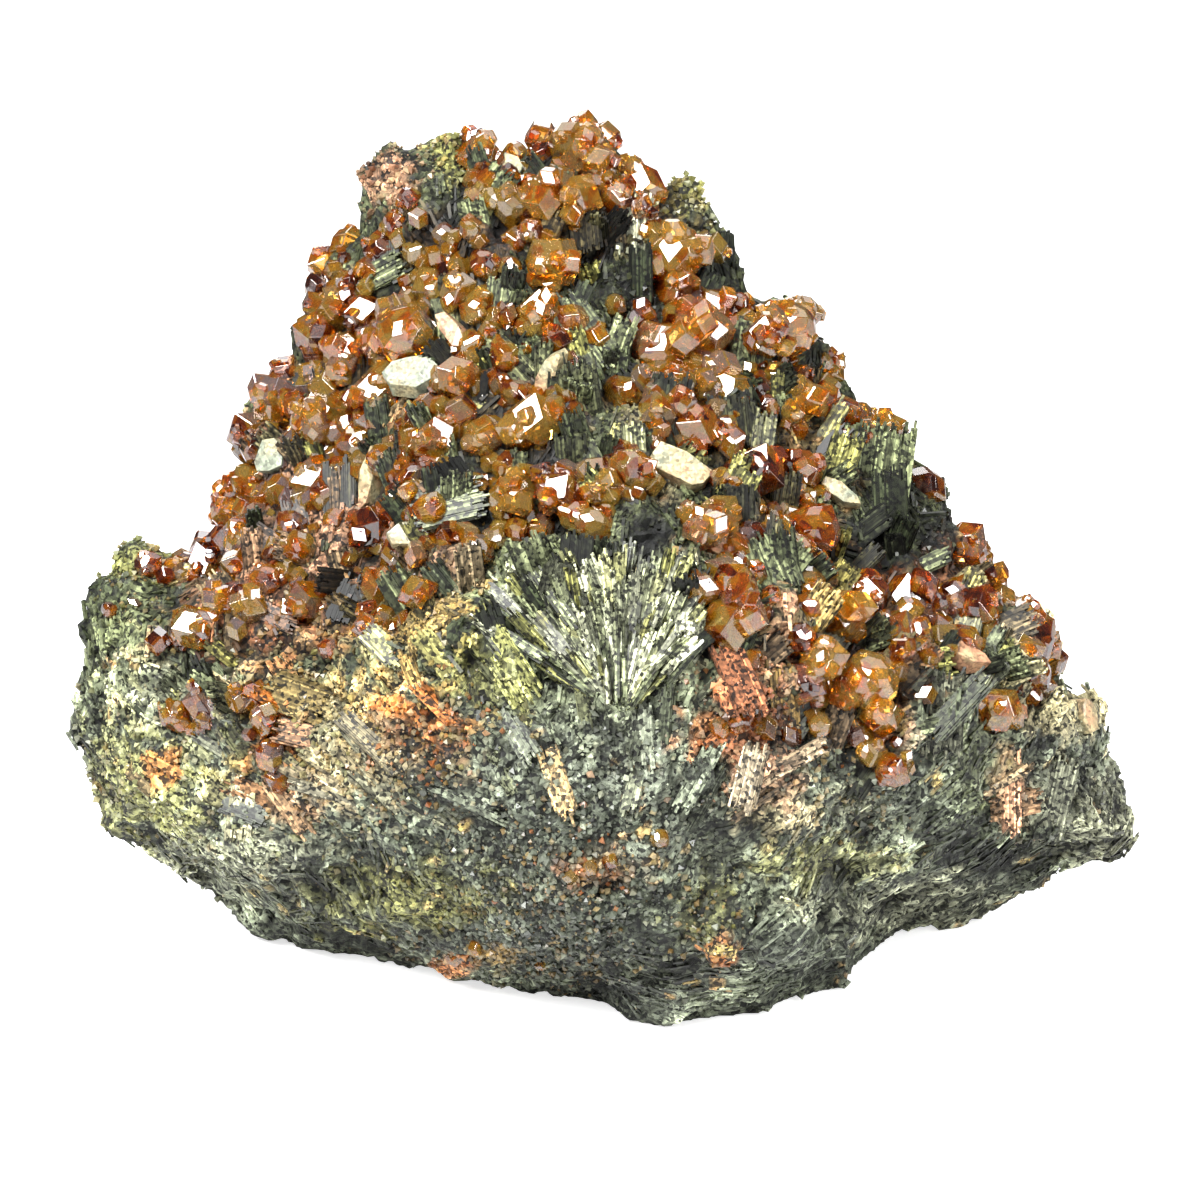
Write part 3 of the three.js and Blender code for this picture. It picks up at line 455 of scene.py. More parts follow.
def rock_colours(points, front, shade):
    """The colour of the rock from its zones, its patches and noise"""
    across, up = facing(points)
    wide = noise_at(points, 6, 1)
    fine = noise_at(points, 1.6, 2)
    mix = np.clip(0.5 + 0.55 * wide + 0.35 * fine + 0.7 * (shade - 0.5), 0, 1)[:, None]
    colours = surface("moss") * (1 - mix) + surface("sage") * mix
    low = np.clip((40 - up) / 12 + 0.8 * (1 - front), 0, 1)[:, None]
    colours = colours * (1 - 0.7 * low) + surface("grey") * (0.3 + 1.4 * mix) * 0.7 * low
    for centre_across, centre_up, reach_across, reach_up, name, strength in COLOUR_ZONES:
        here = near_zone(across, up, centre_across, centre_up, reach_across, reach_up)
        here = np.clip((here * 1.25 + 0.8 * fine + 0.45 * wide - 0.5) * 3, 0, 1) * strength * front
        colours = colours * (1 - here[:, None]) + surface(name) * here[:, None]
    return colours * (0.6 + 0.8 * mix)


def garnet_crowd(across, up):
    """1 where garnets crowd, falling softly to 0"""
    crowd = np.zeros(len(across))
    for centre_across, centre_up, reach in GARNET_ZONES:
        crowd = np.maximum(crowd, near_zone(across, up, centre_across, centre_up, reach, reach))
    for centre_across, centre_up, reach in HOLLOWS:
        crowd -= near_zone(across, up, centre_across, centre_up, reach, reach)
    return np.maximum(crowd, 0)


def fibre_share(across, up):
    """1 where the rock is fibrous, 0 where it is granular"""
    share = np.full(len(across), 0.75)
    for centre_across, centre_up, reach, _ in GRAIN_ZONES:
        share -= 0.6 * near_zone(across, up, centre_across, centre_up, reach, reach)
    return np.clip(share, 0.08, 1)


class Rock:
    """The finished rock: its corners, normals, fibre lies, fibre share, colours and surface"""

    def __init__(self, mesh, points, normals, lies, fibrous, tones):
        self.points = points
        self.normals = normals
        self.lies = lies
        self.fibrous = fibrous
        self.tones = tones
        faces = [tuple(face.vertices) for face in mesh.polygons]
        self.corners = np.array([face[0] for face in faces])
        self.surface = BVHTree.FromPolygons(points.tolist(), faces)


def fine_net():
    """The solid of the rock as a mesh with small, even faces"""
    rough = new_object("rough_rock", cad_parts["matrix"].data.copy())
    remesh = rough.modifiers.new("fine net", "REMESH")
    remesh.mode = "VOXEL"
    remesh.voxel_size = ROCK_VOXEL
    shown = rough.evaluated_get(bpy.context.evaluated_depsgraph_get())
    mesh = bpy.data.meshes.new_from_object(shown)
    mesh.materials.clear()
    bpy.data.objects.remove(rough)
    return mesh


def patch_of(points, middles):
    """The number of each point's patch, with borders that wander"""
    tree = KDTree(len(middles))
    for i, middle in enumerate(middles):
        tree.insert(middle, i)
    tree.balance()
    wander = np.stack([noise_at(points, 2.2, seed) for seed in (3, 4, 5)], axis=1) * PATCH_WANDER * MM
    return np.array([tree.find(Vector(row))[1] for row in points + wander])


def thread_noise(crosswise, lengthwise, patch, pitch, length, seed):
    """Noise drawn out along the fibres of each patch, by the pitch and length of its ridges"""
    return noise_rows(np.stack([crosswise / (pitch * MM), lengthwise / (length * MM), patch * seed], axis=1))


def lower_relief(points, across, up, patch):
    """Lumps and swells of the lower rock, and spokes in the band under the crystals"""
    lumps = 0.5 - np.abs(noise_at(points, LUMP_SIZE, 8))
    swell = noise_at(points, SWELL_SIZE, 9)
    turn = np.arctan2(up - SPOKE_ROOT, across - FAN_ROOT[0]) * SPOKES_PER_RADIAN
    out = np.hypot(up - SPOKE_ROOT, across - FAN_ROOT[0]) / SPOKE_LENGTH
    spokes = noise_rows(np.stack([turn, out, patch * 0.01], axis=1))
    band = np.exp(-((up - SPOKE_BAND) / SPOKE_BAND_REACH) ** 2)
    lumpy = up < LUMPS_UNDER
    return lumpy * (LUMP_HEIGHT * lumps + SWELL_HEIGHT * swell) + SPOKE_HEIGHT * band * spokes


def crowd_shadow(across, up, front):
    """How deep the shade is between crowded crystals and in the hollows, from 0 to 1"""
    crowd = np.clip(garnet_crowd(across, up) * 2 - 0.6, 0, 1) * (up > CROWD_FOOT) * front
    crowd *= 1 - 0.6 * np.clip((np.abs(across - CROWD_MIDDLE) - 18) / 12, 0, 1)
    for centre_across, centre_up, reach in HOLLOWS:
        crowd = np.maximum(crowd, near_zone(across, up, centre_across, centre_up, reach, reach) * front)
    return crowd


def host_rock():
    """The rock: the solid remeshed finely, then raised in fibrous patches and grains"""
    mesh = fine_net()
    points = points_of(mesh)
    normals = normals_of(mesh)
    middles, lies, lift, shade = make_patches(points)
    patch = patch_of(points, middles)
    along, sideways = lie_frames(lies[patch], normals)
    lengthwise = np.sum(points * along, axis=1)
    crosswise = np.sum(points * sideways, axis=1)
    across, up = facing(points)
    fibrous = fibre_share(across, up)
    ridge = thread_noise(crosswise, lengthwise, patch, RIDGE_PITCH, RIDGE_LENGTH, 3.7)
    ledge = thread_noise(crosswise, lengthwise, patch, LEDGE_PITCH, LEDGE_LENGTH, 5.1)
    grain = noise_at(points, GRAIN_SIZE, 6)
    crumb = noise_at(points, CRUMB_SIZE, 7)
    rise = fibrous * (RIDGE_HEIGHT * ridge + LEDGE_HEIGHT * ledge + lift[patch])
    rise += (1 - fibrous) * (GRAIN_HEIGHT * grain + CRUMB_HEIGHT * crumb) - RELIEF_SUNK
    rise += lower_relief(points, across, up, patch)
    on_base = points[:, 2] < 0.5 * MM
    rise[on_base] = 0
    moved = points + normals * (rise[:, None] * MM)
    moved[:, 2] = np.maximum(moved[:, 2], 0)
    mesh.vertices.foreach_set("co", moved.ravel())
    mesh.update()
    front = front_share(normals)
    # Colours are made lighter where the relief is raised and darker where it is sunk: painted light and
    # shade. streak adds light and dark lines along the ridges and grains.
    height = np.clip(0.85 + 0.8 * rise, 0.08, 1.8)
    streak = 1 + 1.3 * ridge * fibrous + 0.9 * grain * (1 - fibrous)
    colours = rock_colours(points, front, shade[patch]) * (height * np.clip(streak, 0.2, 2.2))[:, None]
    colours *= (1 - CROWD_SHADE * crowd_shadow(across, up, front))[:, None]
    colours = np.clip(colours, 0, 1)
    paint(mesh, "tone", colours)
    fibre = mesh.attributes.new("fibre", "FLOAT_VECTOR", "POINT")
    laid = np.stack([crosswise / MM, lengthwise / MM, fibrous], axis=1)
    fibre.data.foreach_set("vector", laid.ravel())
    mesh.materials.append(rock_material())
    piece = new_object("host_rock", mesh)
    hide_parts("matrix")
    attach(piece, "root")
    return Rock(mesh, moved, normals, lies[patch], fibrous, colours)


# Fibres and grains

SLIVER_FACES = [(0, 1, 2, 3), (7, 6, 5, 4), (0, 4, 5, 1), (1, 5, 6, 2), (2, 6, 7, 3), (3, 7, 4, 0)]
GRAIN_POINTS = np.array([(1, 0, 0), (-1, 0, 0), (0, 1, 0), (0, -1, 0), (0, 0, 1), (0, 0, -1)], dtype=float)
GRAIN_FACES = [(0, 2, 4), (2, 1, 4), (1, 3, 4), (3, 0, 4), (2, 0, 5), (1, 2, 5), (3, 1, 5), (0, 3, 5)]


def sliver_points(middle, along, sideways, out, half, width, thick):
    """Eight corners of one thin fibre, a little bent out of square and narrower at its ends"""
    corners = []
    for end in (-1, 1):
        shrink = 0.7 + 0.35 * chance.random()
        reach = half * (0.85 + 0.3 * chance.random())
        for side, top in ((-1, -1), (1, -1), (1, 1), (-1, 1)):
            spot = middle + along * end * reach + sideways * side * width * shrink
            corners.append(spot + out * top * thick * shrink)
    return corners


def joined_pieces(name, lists, faces, colours, material):
    """Many small forms of one kind as one mesh piece"""
    points = np.concatenate([np.asarray(one) for one in lists])
    step = len(lists[0])
    all_faces = [tuple(i * step + k for k in face) for i in range(len(lists)) for face in faces]
    tones = np.repeat(np.clip(colours, 0, 1), step, axis=0)
    mesh = mesh_from_arrays(name, points, all_faces, tones)
    mesh.materials.append(material)
    piece = new_object(name, mesh)
    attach(piece, "root")
    return piece


def loose_fibres(rock):
    """Thin fibres that lie on the rock along each patch"""
    points, normals = rock.points, rock.normals
    weight = np.clip(rock.fibrous - 0.2, 0, 1) * (0.35 + 0.65 * (normals[:, 1] < 0.25))
    weight[points[:, 2] < 2 * MM] = 0
    weight[np.abs(normals @ np.array(SIGHT)) < 0.35] *= 0.15
    chosen = chance.choice(len(points), LOOSE_FIBRES, p=weight / weight.sum())
    lies = rock.lies[chosen] + chance.normal(0, 4, LOOSE_FIBRES)
    along, sideways = lie_frames(lies, normals[chosen])
    lists = []
    colours = []
    for k, i in enumerate(chosen):
        half = MM * (0.5 + 1.1 * chance.random() ** 2)
        width = MM * (0.1 + 0.14 * chance.random())
        lifted = points[i] + normals[i] * MM * (0.1 * chance.random() - 0.04)
        tilt = along[k] + normals[i] * 0.12 * (chance.random() - 0.5)
        lists.append(sliver_points(lifted, tilt, sideways[k], normals[i], half, width, width * 0.8))
        colours.append(rock.tones[i] * (0.6 + 1.1 * chance.random()))
    return joined_pieces("surface_fibres", lists, SLIVER_FACES, colours, fibre_material())


def on_rock(rock, across, up):
    """Whether the viewer sees the rock at a place"""
    return rock.surface.ray_cast(EYE, sight_line(across, up))[0] is not None


def bundle(rock, across, up, half, width, lie, colour, own, tilt, deep):
    """One block of fibres side by side in layers, with uneven ends: corner lists and colours

    own is the share of its own colour in the rock's, tilt how far it leans out in radians,
    and deep how far it is sunk in millimetres
    """
    way = sight_line(across, up)
    spot, normal, face, _ = rock.surface.ray_cast(EYE, way)
    end_across = 1.2 * half * math.cos(math.radians(lie))
    end_up = 1.2 * half * math.sin(math.radians(lie))
    ends = all(on_rock(rock, across + turn * end_across, up + turn * end_up) for turn in (-1, 1))
    if spot is None or normal.dot(way) > -0.3 or not ends:
        return [], []
    out_way = np.array([(normal - way * 0.8).normalized()])
    along, sideways = lie_frames(np.array([lie]), out_way)
    out = out_way[0] * math.cos(tilt) - along[0] * math.sin(tilt)
    along = along[0] * math.cos(tilt) + out_way[0] * math.sin(tilt)
    sideways = sideways[0]
    lists = []
    colours = []
    base = own * surface(colour) + (1 - own) * rock.tones[rock.corners[face]] * 1.2
    base = base * (0.6 + 0.6 * chance.random())
    sink = deep + 0.25 * half * math.sin(tilt)
    for layer in range(BLOCK_LAYERS):
        fibres = max(2, int(2 * width / FIBRE_PITCH) - layer)
        for k in range(fibres):
            side = (k - (fibres - 1) / 2) * FIBRE_PITCH + 0.06 * (chance.random() - 0.5)
            slide = half * (0.12 * math.sin(k * 1.3 + 2 * layer) + 0.2 * (chance.random() - 0.5))
            rise = LAYER_STEP * layer + 0.1 * chance.random() - sink
            middle = np.array(spot) + (sideways * side + along * slide + out * rise) * MM
            length = half * (0.8 + 0.25 * chance.random()) * MM
            breadth = (0.5 + 0.12 * chance.random()) * FIBRE_PITCH * MM
            lists.append(sliver_points(middle, along, sideways, out, length, breadth, 0.18 * MM))
            # A few fibres are made bright as painted highlights, and each lower layer is darker as painted
            # shade between the fibres.
            painted_gleam = (2.6 - 4 * deep) * chance.random() ** 3
            colours.append(base * (0.2 + 0.7 * deep + painted_gleam + 0.14 * layer))
    return lists, colours


def blocks_of_table():
    """The raised blocks, nearer to the rock's colour and deeper on the lower rock"""
    for across, up, half, width, lie, colour in FIBRE_BLOCKS:
        low = up < LOWER_UNDER
        own = 0.35 if low else 0.7
        yield across, up, half, width * 0.95, lie, colour, own, 0.12, 0.3 if low else 0


def blocks_between():
    """Smaller blocks that lean out between the crystals"""
    for _ in range(BETWEEN_BLOCKS):
        centre_across, centre_up, reach = GARNET_ZONES[chance.integers(len(GARNET_ZONES))]
        across = centre_across + reach * chance.normal(0, 0.55)
        up = centre_up + reach * chance.normal(0, 0.55)
        half = 1.5 + 1.9 * chance.random()
        colour = BETWEEN_COLOURS[chance.integers(len(BETWEEN_COLOURS))]
        width = 0.7 + 1.1 * chance.random()
        lie = radiating_lie(across, up, PATCH_STRAY)
        yield across, up, half, width, lie, colour, 0.6, 0.15 + 0.5 * chance.random(), 0


def lower_blocks():
    """Blocks on the lower rock, nearly of its own colour and sunk into it"""
    for _ in range(LOWER_BLOCKS):
        across = chance.uniform(-46, 46)
        up = chance.uniform(22, 42)
        half = 1.6 + 2.2 * chance.random()
        colour = LOWER_COLOURS[chance.integers(len(LOWER_COLOURS))]
        width = 0.5 + 0.9 * chance.random()
        lie = radiating_lie(across, up, LOWER_STRAY)
        yield across, up, half, width, lie, colour, 0.12, 0.05, 0.42


def fan_blocks():
    """The fan: ribs of three blocks each, from its root outwards"""
    for lie in np.linspace(FAN_FROM - 8, FAN_TO + 14, FAN_RIBS):
        angle = math.radians(lie)
        reach = FAN_REACH * (0.8 + 0.25 * chance.random())
        for share in (0.3, 0.55, 0.82):
            across = FAN_ROOT[0] + reach * share * math.cos(angle)
            up = FAN_ROOT[1] + reach * share * math.sin(angle)
            colour = FAN_COLOURS[chance.integers(len(FAN_COLOURS))]
            turned = lie + chance.normal(0, 2)
            yield across, up, reach * 0.2, 0.25 + 0.5 * share, turned, colour, 0.5, 0.05 + 0.12 * share, 0


def block_fibres(rock):
    """Bundles of fibres: the raised blocks, many smaller ones, and the fan"""
    lists = []
    colours = []
    for blocks in (blocks_of_table(), blocks_between(), lower_blocks(), fan_blocks()):
        for block in blocks:
            more, tones = bundle(rock, *block)
            lists.extend(more)
            colours.extend(tones)
    return joined_pieces("fibre_bundles", lists, SLIVER_FACES, colours, fibre_material())


def crust_grains(rock):
    """Loose grains of the crusts, thickest in their zones"""
    points, normals, tones = rock.points, rock.normals, rock.tones
    across, up = facing(points)
    front = (normals @ np.array(SIGHT)) < 0.25
    lists = []
    colours = []
    total = sum(zone[2] ** 2 for zone in GRAIN_ZONES)
    for centre_across, centre_up, reach, names in GRAIN_ZONES:
        here = near_zone(across, up, centre_across, centre_up, reach, reach) ** 1.3 * front
        here[points[:, 2] < 0.8 * MM] = 0
        share = int(CRUST_GRAINS * reach ** 2 / total)
        for i in chance.choice(len(points), share, p=here / here.sum()):
            size = MM * (0.13 + 0.4 * chance.random() ** 3)
            turn = np.array(Quaternion(chance.normal(size=4)).normalized().to_matrix())
            shape = GRAIN_POINTS * chance.uniform(0.6, 1.2, (6, 1)) * size
            lists.append(shape @ turn.T + points[i] + normals[i] * size * 0.3)
            own = surface(names[chance.integers(len(names))]) * (0.5 + 0.9 * chance.random())
            colours.append(0.35 * own + 0.65 * tones[i] * (0.7 + 1.2 * chance.random()))
    return joined_pieces("crust_grains", lists, GRAIN_FACES, colours, grain_material())


# Garnet crystals

def rhombic_form(edge):
    """A unit rhombic dodecahedron with its edges eased"""
    form = bmesh.new()
    for sign in (-1, 1):
        for corner in ((sign, 0, 0), (0, sign, 0), (0, 0, sign)):
            form.verts.new(corner)
    for corner in np.ndindex(2, 2, 2):
        form.verts.new(np.array(corner) - 0.5)
    bmesh.ops.convex_hull(form, input=form.verts)
    return eased_form(form, edge)


def eased_form(form, edge):
    """Corners and faces of a form whose flat faces are joined and whose edges are bevelled"""
    bmesh.ops.dissolve_limit(form, angle_limit=0.02, verts=form.verts, edges=form.edges)
    if edge > 0:
        bmesh.ops.bevel(form, geom=form.edges, offset=edge, segments=1, affect="EDGES")
    form.verts.index_update()
    points = np.array([v.co[:] for v in form.verts])
    faces = [tuple(v.index for v in face.verts) for face in form.faces]
    form.free()
    return points, faces


def garnet_planes(bevel):
    """The ways that a garnet's faces look and how far out they lie: 12 rhombic ones, 24 bevels"""
    ways = []
    limits = []
    for i, j in ((0, 1), (0, 2), (1, 2)):
        for signs in np.ndindex(2, 2):
            way = np.zeros(3)
            way[[i, j]] = 2 * np.array(signs) - 1
            ways.append(way)
            limits.append(1.0)
    for long in range(3):
        for signs in np.ndindex(2, 2, 2):
            way = 2.0 * np.array(signs) - 1
            way[long] *= 2
            ways.append(way)
            limits.append(2 * bevel)
    return np.array(ways), np.array(limits)


def garnet_form(bevel, edge):
    """A unit garnet crystal: rhombic faces with their edges cut by bevels, then eased"""
    ways, limits = garnet_planes(bevel)
    corners = set()
    for trio in combinations(range(len(ways)), 3):
        three = ways[list(trio)]
        if abs(np.linalg.det(three)) < 1e-6:
            continue
        spot = np.linalg.solve(three, limits[list(trio)])
        if np.all(ways @ spot <= limits + 1e-6):
            corners.add(tuple(np.round(spot, 6)))
    form = bmesh.new()
    for corner in sorted(corners):
        form.verts.new(corner)
    bmesh.ops.convex_hull(form, input=form.verts)
    return eased_form(form, edge)


def solid_copy(name):
    """Corners and faces of one crystal or blade of the solids, with its edges eased"""
    node = bmesh.new()
    node.from_mesh(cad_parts[name].data)
    bmesh.ops.remove_doubles(node, verts=node.verts, dist=0.002 * MM)
    bmesh.ops.dissolve_limit(node, angle_limit=0.03, verts=node.verts, edges=node.edges)
    sharp = [e for e in node.edges if e.is_manifold and e.calc_face_angle(0) > 0.3]
    bmesh.ops.bevel(node, geom=sharp, offset=SOLID_EDGE, segments=1, affect="EDGES")
    node.verts.index_update()
    points = np.array([v.co[:] for v in node.verts])
    faces = [tuple(v.index for v in face.verts) for face in node.faces]
    node.free()
    return points, faces


def joined_crystals(piece_name, forms, tints, material):
    """Crystals of any form as one mesh piece, each with its own tint and each face with a chance value"""
    points = []
    faces = []
    colours = []
    for (form_points, form_faces), tint in zip(forms, tints):
        start = len(points)
        points.extend(form_points)
        faces.extend(tuple(start + k for k in face) for face in form_faces)
        colours.extend([tint] * len(form_points))
    mesh = mesh_from_arrays(piece_name, points, faces, np.array(colours))
    facet = mesh.attributes.new("facet", "FLOAT", "FACE")
    facet.data.foreach_set("value", np.random.default_rng(7).random(len(mesh.polygons)))
    mesh.materials.append(material)
    return new_object(piece_name, mesh)


def placed_form(form, middle, radius):
    """A unit form squeezed a little, turned any way round and put in place"""
    turn = np.array(Quaternion(chance.normal(size=4)).normalized().to_matrix())
    squeeze = np.array(chance.uniform(0.8, 1.18, 3))
    return (form[0] * radius * squeeze) @ turn.T + middle, form[1]


def tint_row(middle):
    """A crystal's place from dark red-brown at 0 to honey at 1, and how much mauve skin it has"""
    across = facing(middle[None, :])[0][0]
    flank = np.clip((-across - 18) / 20, 0, 1)
    tint = np.clip(chance.beta(2.0, 2.0) - 0.1 * flank, 0.03, 0.95)
    return (tint, np.clip(chance.random() * 0.8 + 0.45 * flank, 0, 1), 0.5)


def growths(crystals, forms):
    """Smaller crystals grown out of each crystal, mostly towards the viewer, nearly in its tint"""
    made = []
    tints = []
    towards = -np.array(SIGHT)
    for middle, radius, tint in crystals:
        for _ in range(MANY_GROWTHS if radius > LARGE_GARNET else FEW_GROWTHS):
            way = chance.normal(size=3) + 0.7 * towards
            way /= np.linalg.norm(way)
            size = radius * (0.34 + 0.36 * chance.random())
            spot = middle + way * (radius * 0.95 - size * (0.1 + 0.4 * chance.random()))
            made.append(placed_form(forms[chance.integers(len(forms))], spot, size))
            tints.append((np.clip(tint[0] + chance.normal(0, 0.1), 0, 1), tint[1], 0.5))
    return made, tints


def extent(corners):
    """The middle of a crystal and its mean radius"""
    return corners.mean(axis=0), np.ptp(corners, axis=0).mean() / 2


def crowd_at(point):
    """How thickly crystals crowd at one point"""
    across, up = facing(point[None, :])
    return garnet_crowd(across, up)[0]


def placed_by_hand(rock, forms):
    """The small crystals of the table, each on the rock at its place"""
    made = []
    for across, up, radius in SMALL_GARNETS:
        way = sight_line(across, up)
        spot = rock.surface.ray_cast(EYE, way)[0]
        if spot is not None:
            size = radius * TABLE_GROWN * MM
            made.append(placed_form(forms[chance.integers(3)], np.array(spot - way * size * 0.15), size))
    return made


def beside_another(rock, middle, radius, size):
    """A place on the rock beside a crystal, or nothing where no crystals crowd"""
    way = chance.normal(size=3)
    beside = middle + way * (radius + 0.4 * size) / np.linalg.norm(way)
    spot, normal, _, _ = rock.surface.find_nearest(beside)
    place = np.array(spot + normal * size * 0.3)
    if normal.dot(SIGHT) > 0.3 or crowd_at(place) < 0.15:
        return None
    return place


def placed_by_chance(rock, taken, made, eased, sharp):
    """Adds crystals between the others, most of them in clusters, until there are enough"""
    points, normals = rock.points, rock.normals
    plain = rhombic_form(0)
    across, up = facing(points)
    crowd = garnet_crowd(across, up)
    crowd *= ((normals @ np.array(SIGHT)) < 0.3) * (crowd > 0.25)
    middles = np.array([one[0] for one in taken])
    radii = np.array([one[1] for one in taken])
    for i in chance.choice(len(points), GARNET_TRIES, p=crowd / crowd.sum()):
        if len(made) > SMALL_GARNETS_IN_ALL:
            break
        size = MM * (0.8 + 1.8 * chance.random() ** 1.3)
        middle = points[i] + normals[i] * size * 0.1
        if chance.random() < CLUSTERED_SHARE:
            host = chance.integers(len(middles))
            middle = beside_another(rock, middles[host], radii[host], size)
            if middle is None:
                continue
        if np.any(np.linalg.norm(middles - middle, axis=1) < LEAST_SPACE * (radii + size)):
            continue
        middles = np.vstack([middles, middle])
        radii = np.append(radii, size)
        form = eased[chance.integers(3)] if size > EASED_OVER else sharp[chance.integers(3)]
        made.append(placed_form(form if size > PLAIN_UNDER else plain, middle, size))


def garnets(rock):
    """All crystals: those of the solids, those of the table, more between them, and growths on them"""
    material = garnet_material()
    names = sorted(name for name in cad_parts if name.startswith("garnet"))
    big = [solid_copy(name) for name in names]
    big_tints = [tint_row(corners.mean(axis=0)) for corners, _ in big]
    large = joined_crystals("garnet_crystals", big, big_tints, material)
    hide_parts(*names)
    eased = [garnet_form(bevel, FORM_EDGE) for bevel in EASED_BEVELS]
    sharp = [garnet_form(bevel, 0) for bevel in SHARP_BEVELS] + [rhombic_form(RHOMBIC_EDGE)]
    made = placed_by_hand(rock, eased)
    placed_by_chance(rock, [extent(one[0]) for one in big + made], made, eased, sharp)
    tints = [tint_row(corners.mean(axis=0)) for corners, _ in made]
    small = joined_crystals("small_garnets", made, tints, material)
    parents = [(*extent(one[0]), tint) for one, tint in zip(big + made, big_tints + tints)]
    parents = [one for one in parents if one[1] > GROWTHS_OVER]
    grown = joined_crystals("garnet_growths", *growths(parents, sharp), material)
    for piece in (large, small, grown):
        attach(piece, "root")


def pale_blades():
    """The flat pale pieces of another mineral, with worn edges"""
    names = sorted(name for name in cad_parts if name.startswith("pale_blade"))
    material = pale_material()
    tints = [(chance.random(), chance.random(), chance.random()) for _ in names]
    piece = joined_crystals("pale_blades", [solid_copy(name) for name in names], tints, material)
    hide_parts(*names)
    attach(piece, "root")


# Materials

def new_material(name):
    """A material with its node tree and its main shader"""
    material = bpy.data.materials.new(name)
    material.use_nodes = True
    tree = material.node_tree
    shader = next(node for node in tree.nodes if node.type == "BSDF_PRINCIPLED")
    return material, tree, shader


def add_node(tree, kind, **values):
    """A new node with some of its settings"""
    node = tree.nodes.new(kind)
    for key, value in values.items():
        setattr(node, key, value)
    return node


def feed(tree, target, value):
    """Links a socket to an input, or gives the input a plain value"""
    if isinstance(value, bpy.types.NodeSocket):
        tree.links.new(value, target)
    else:
        target.default_value = value


def worked_out(tree, operation, *values):
    """A sum, product or the like of sockets and numbers"""
    node = add_node(tree, "ShaderNodeMath", operation=operation)
    for target, value in zip(node.inputs, values):
        feed(tree, target, value)
    return node.outputs[0]


def scaled_colour(tree, colour, share):
    """A colour made lighter or darker by a share"""
    node = add_node(tree, "ShaderNodeVectorMath", operation="SCALE")
    tree.links.new(colour, node.inputs[0])
    tree.links.new(share, node.inputs["Scale"])
    return node.outputs[0]


def noise_value(tree, place, scale, detail):
    """Smooth noise from 0 to 1 over the surface"""
    node = add_node(tree, "ShaderNodeTexNoise")
    node.inputs["Scale"].default_value = scale
    node.inputs["Detail"].default_value = detail
    tree.links.new(place, node.inputs["Vector"])
    return node.outputs["Fac"]


def cell_value(tree, place, scale):
    """One chance value from 0 to 1 for each small cell of the surface"""
    cells = add_node(tree, "ShaderNodeTexVoronoi", feature="F1")
    tree.links.new(place, cells.inputs["Vector"])
    feed(tree, cells.inputs["Scale"], scale)
    return first_channels(tree, cells.outputs["Color"])[0]


def first_channels(tree, colour):
    """The red and green of a colour as two values"""
    split = add_node(tree, "ShaderNodeSeparateColor")
    tree.links.new(colour, split.inputs["Color"])
    return split.outputs["Red"], split.outputs["Green"]


def spread_value(tree, value, low, high, new_low, new_high):
    """A value spread from one range to another"""
    node = add_node(tree, "ShaderNodeMapRange")
    for name, limit in zip(("From Min", "From Max", "To Min", "To Max"), (low, high, new_low, new_high)):
        node.inputs[name].default_value = limit
    tree.links.new(value, node.inputs["Value"])
    return node.outputs[0]


def colour_ramp(tree, value, stops):
    """A colour chosen by a value, from stops given as position and colour"""
    node = add_node(tree, "ShaderNodeValToRGB")
    marks = node.color_ramp.elements
    marks[0].color = (*stops[0][1], 1)
    marks[1].color = (*stops[-1][1], 1)
    for position, colour in stops[1:-1]:
        mark = marks.new(position)
        mark.color = (*colour, 1)
    tree.links.new(value, node.inputs["Fac"])
    return node.outputs["Color"]


def add_bump(tree, shader, height, strength, distance):
    """Raises and sinks the surface a little by a height"""
    bump = add_node(tree, "ShaderNodeBump")
    bump.inputs["Strength"].default_value = strength
    bump.inputs["Distance"].default_value = distance
    tree.links.new(height, bump.inputs["Height"])
    tree.links.new(bump.outputs["Normal"], shader.inputs["Normal"])


def surface_place(tree):
    """The place on the object, which textures are laid by"""
    return add_node(tree, "ShaderNodeTexCoord").outputs["Object"]


def tone_of(tree):
    """The colour painted on each corner"""
    return add_node(tree, "ShaderNodeAttribute", attribute_name="tone").outputs["Color"]


def speckle_group():
    """Mineral speckle: a colour lightened and darkened grain by grain, with a height for bumps"""
    existing = bpy.data.node_groups.get("mineral speckle")
    if existing:
        return existing
    group = bpy.data.node_groups.new("mineral speckle", "ShaderNodeTree")
    face = group.interface
    face.new_socket("Colour", in_out="INPUT", socket_type="NodeSocketColor")
    face.new_socket("Grains per metre", in_out="INPUT", socket_type="NodeSocketFloat")
    face.new_socket("Contrast", in_out="INPUT", socket_type="NodeSocketFloat")
    face.new_socket("Colour", in_out="OUTPUT", socket_type="NodeSocketColor")
    face.new_socket("Height", in_out="OUTPUT", socket_type="NodeSocketFloat")
    entry = group.nodes.new("NodeGroupInput")
    leave = group.nodes.new("NodeGroupOutput")
    place = surface_place(group)
    grains = cell_value(group, place, entry.outputs["Grains per metre"])
    cloud = noise_value(group, place, SPECKLE_CLOUD, 5)
    both = worked_out(group, "ADD", grains, cloud)
    centred = worked_out(group, "SUBTRACT", both, 1.0)
    share = worked_out(group, "MULTIPLY_ADD", centred, entry.outputs["Contrast"], 1.0)
    kept = worked_out(group, "MAXIMUM", share, SPECKLE_DARKEST)
    tint = scaled_colour(group, entry.outputs["Colour"], kept)
    group.links.new(tint, leave.inputs["Colour"])
    group.links.new(both, leave.inputs["Height"])
    return group


def add_speckle(tree, colour, grains, contrast):
    """Mineral speckle on a colour: grains in a metre, and how strong"""
    node = add_node(tree, "ShaderNodeGroup", node_tree=speckle_group())
    tree.links.new(colour, node.inputs["Colour"])
    node.inputs["Grains per metre"].default_value = grains
    feed(tree, node.inputs["Contrast"], contrast)
    return node


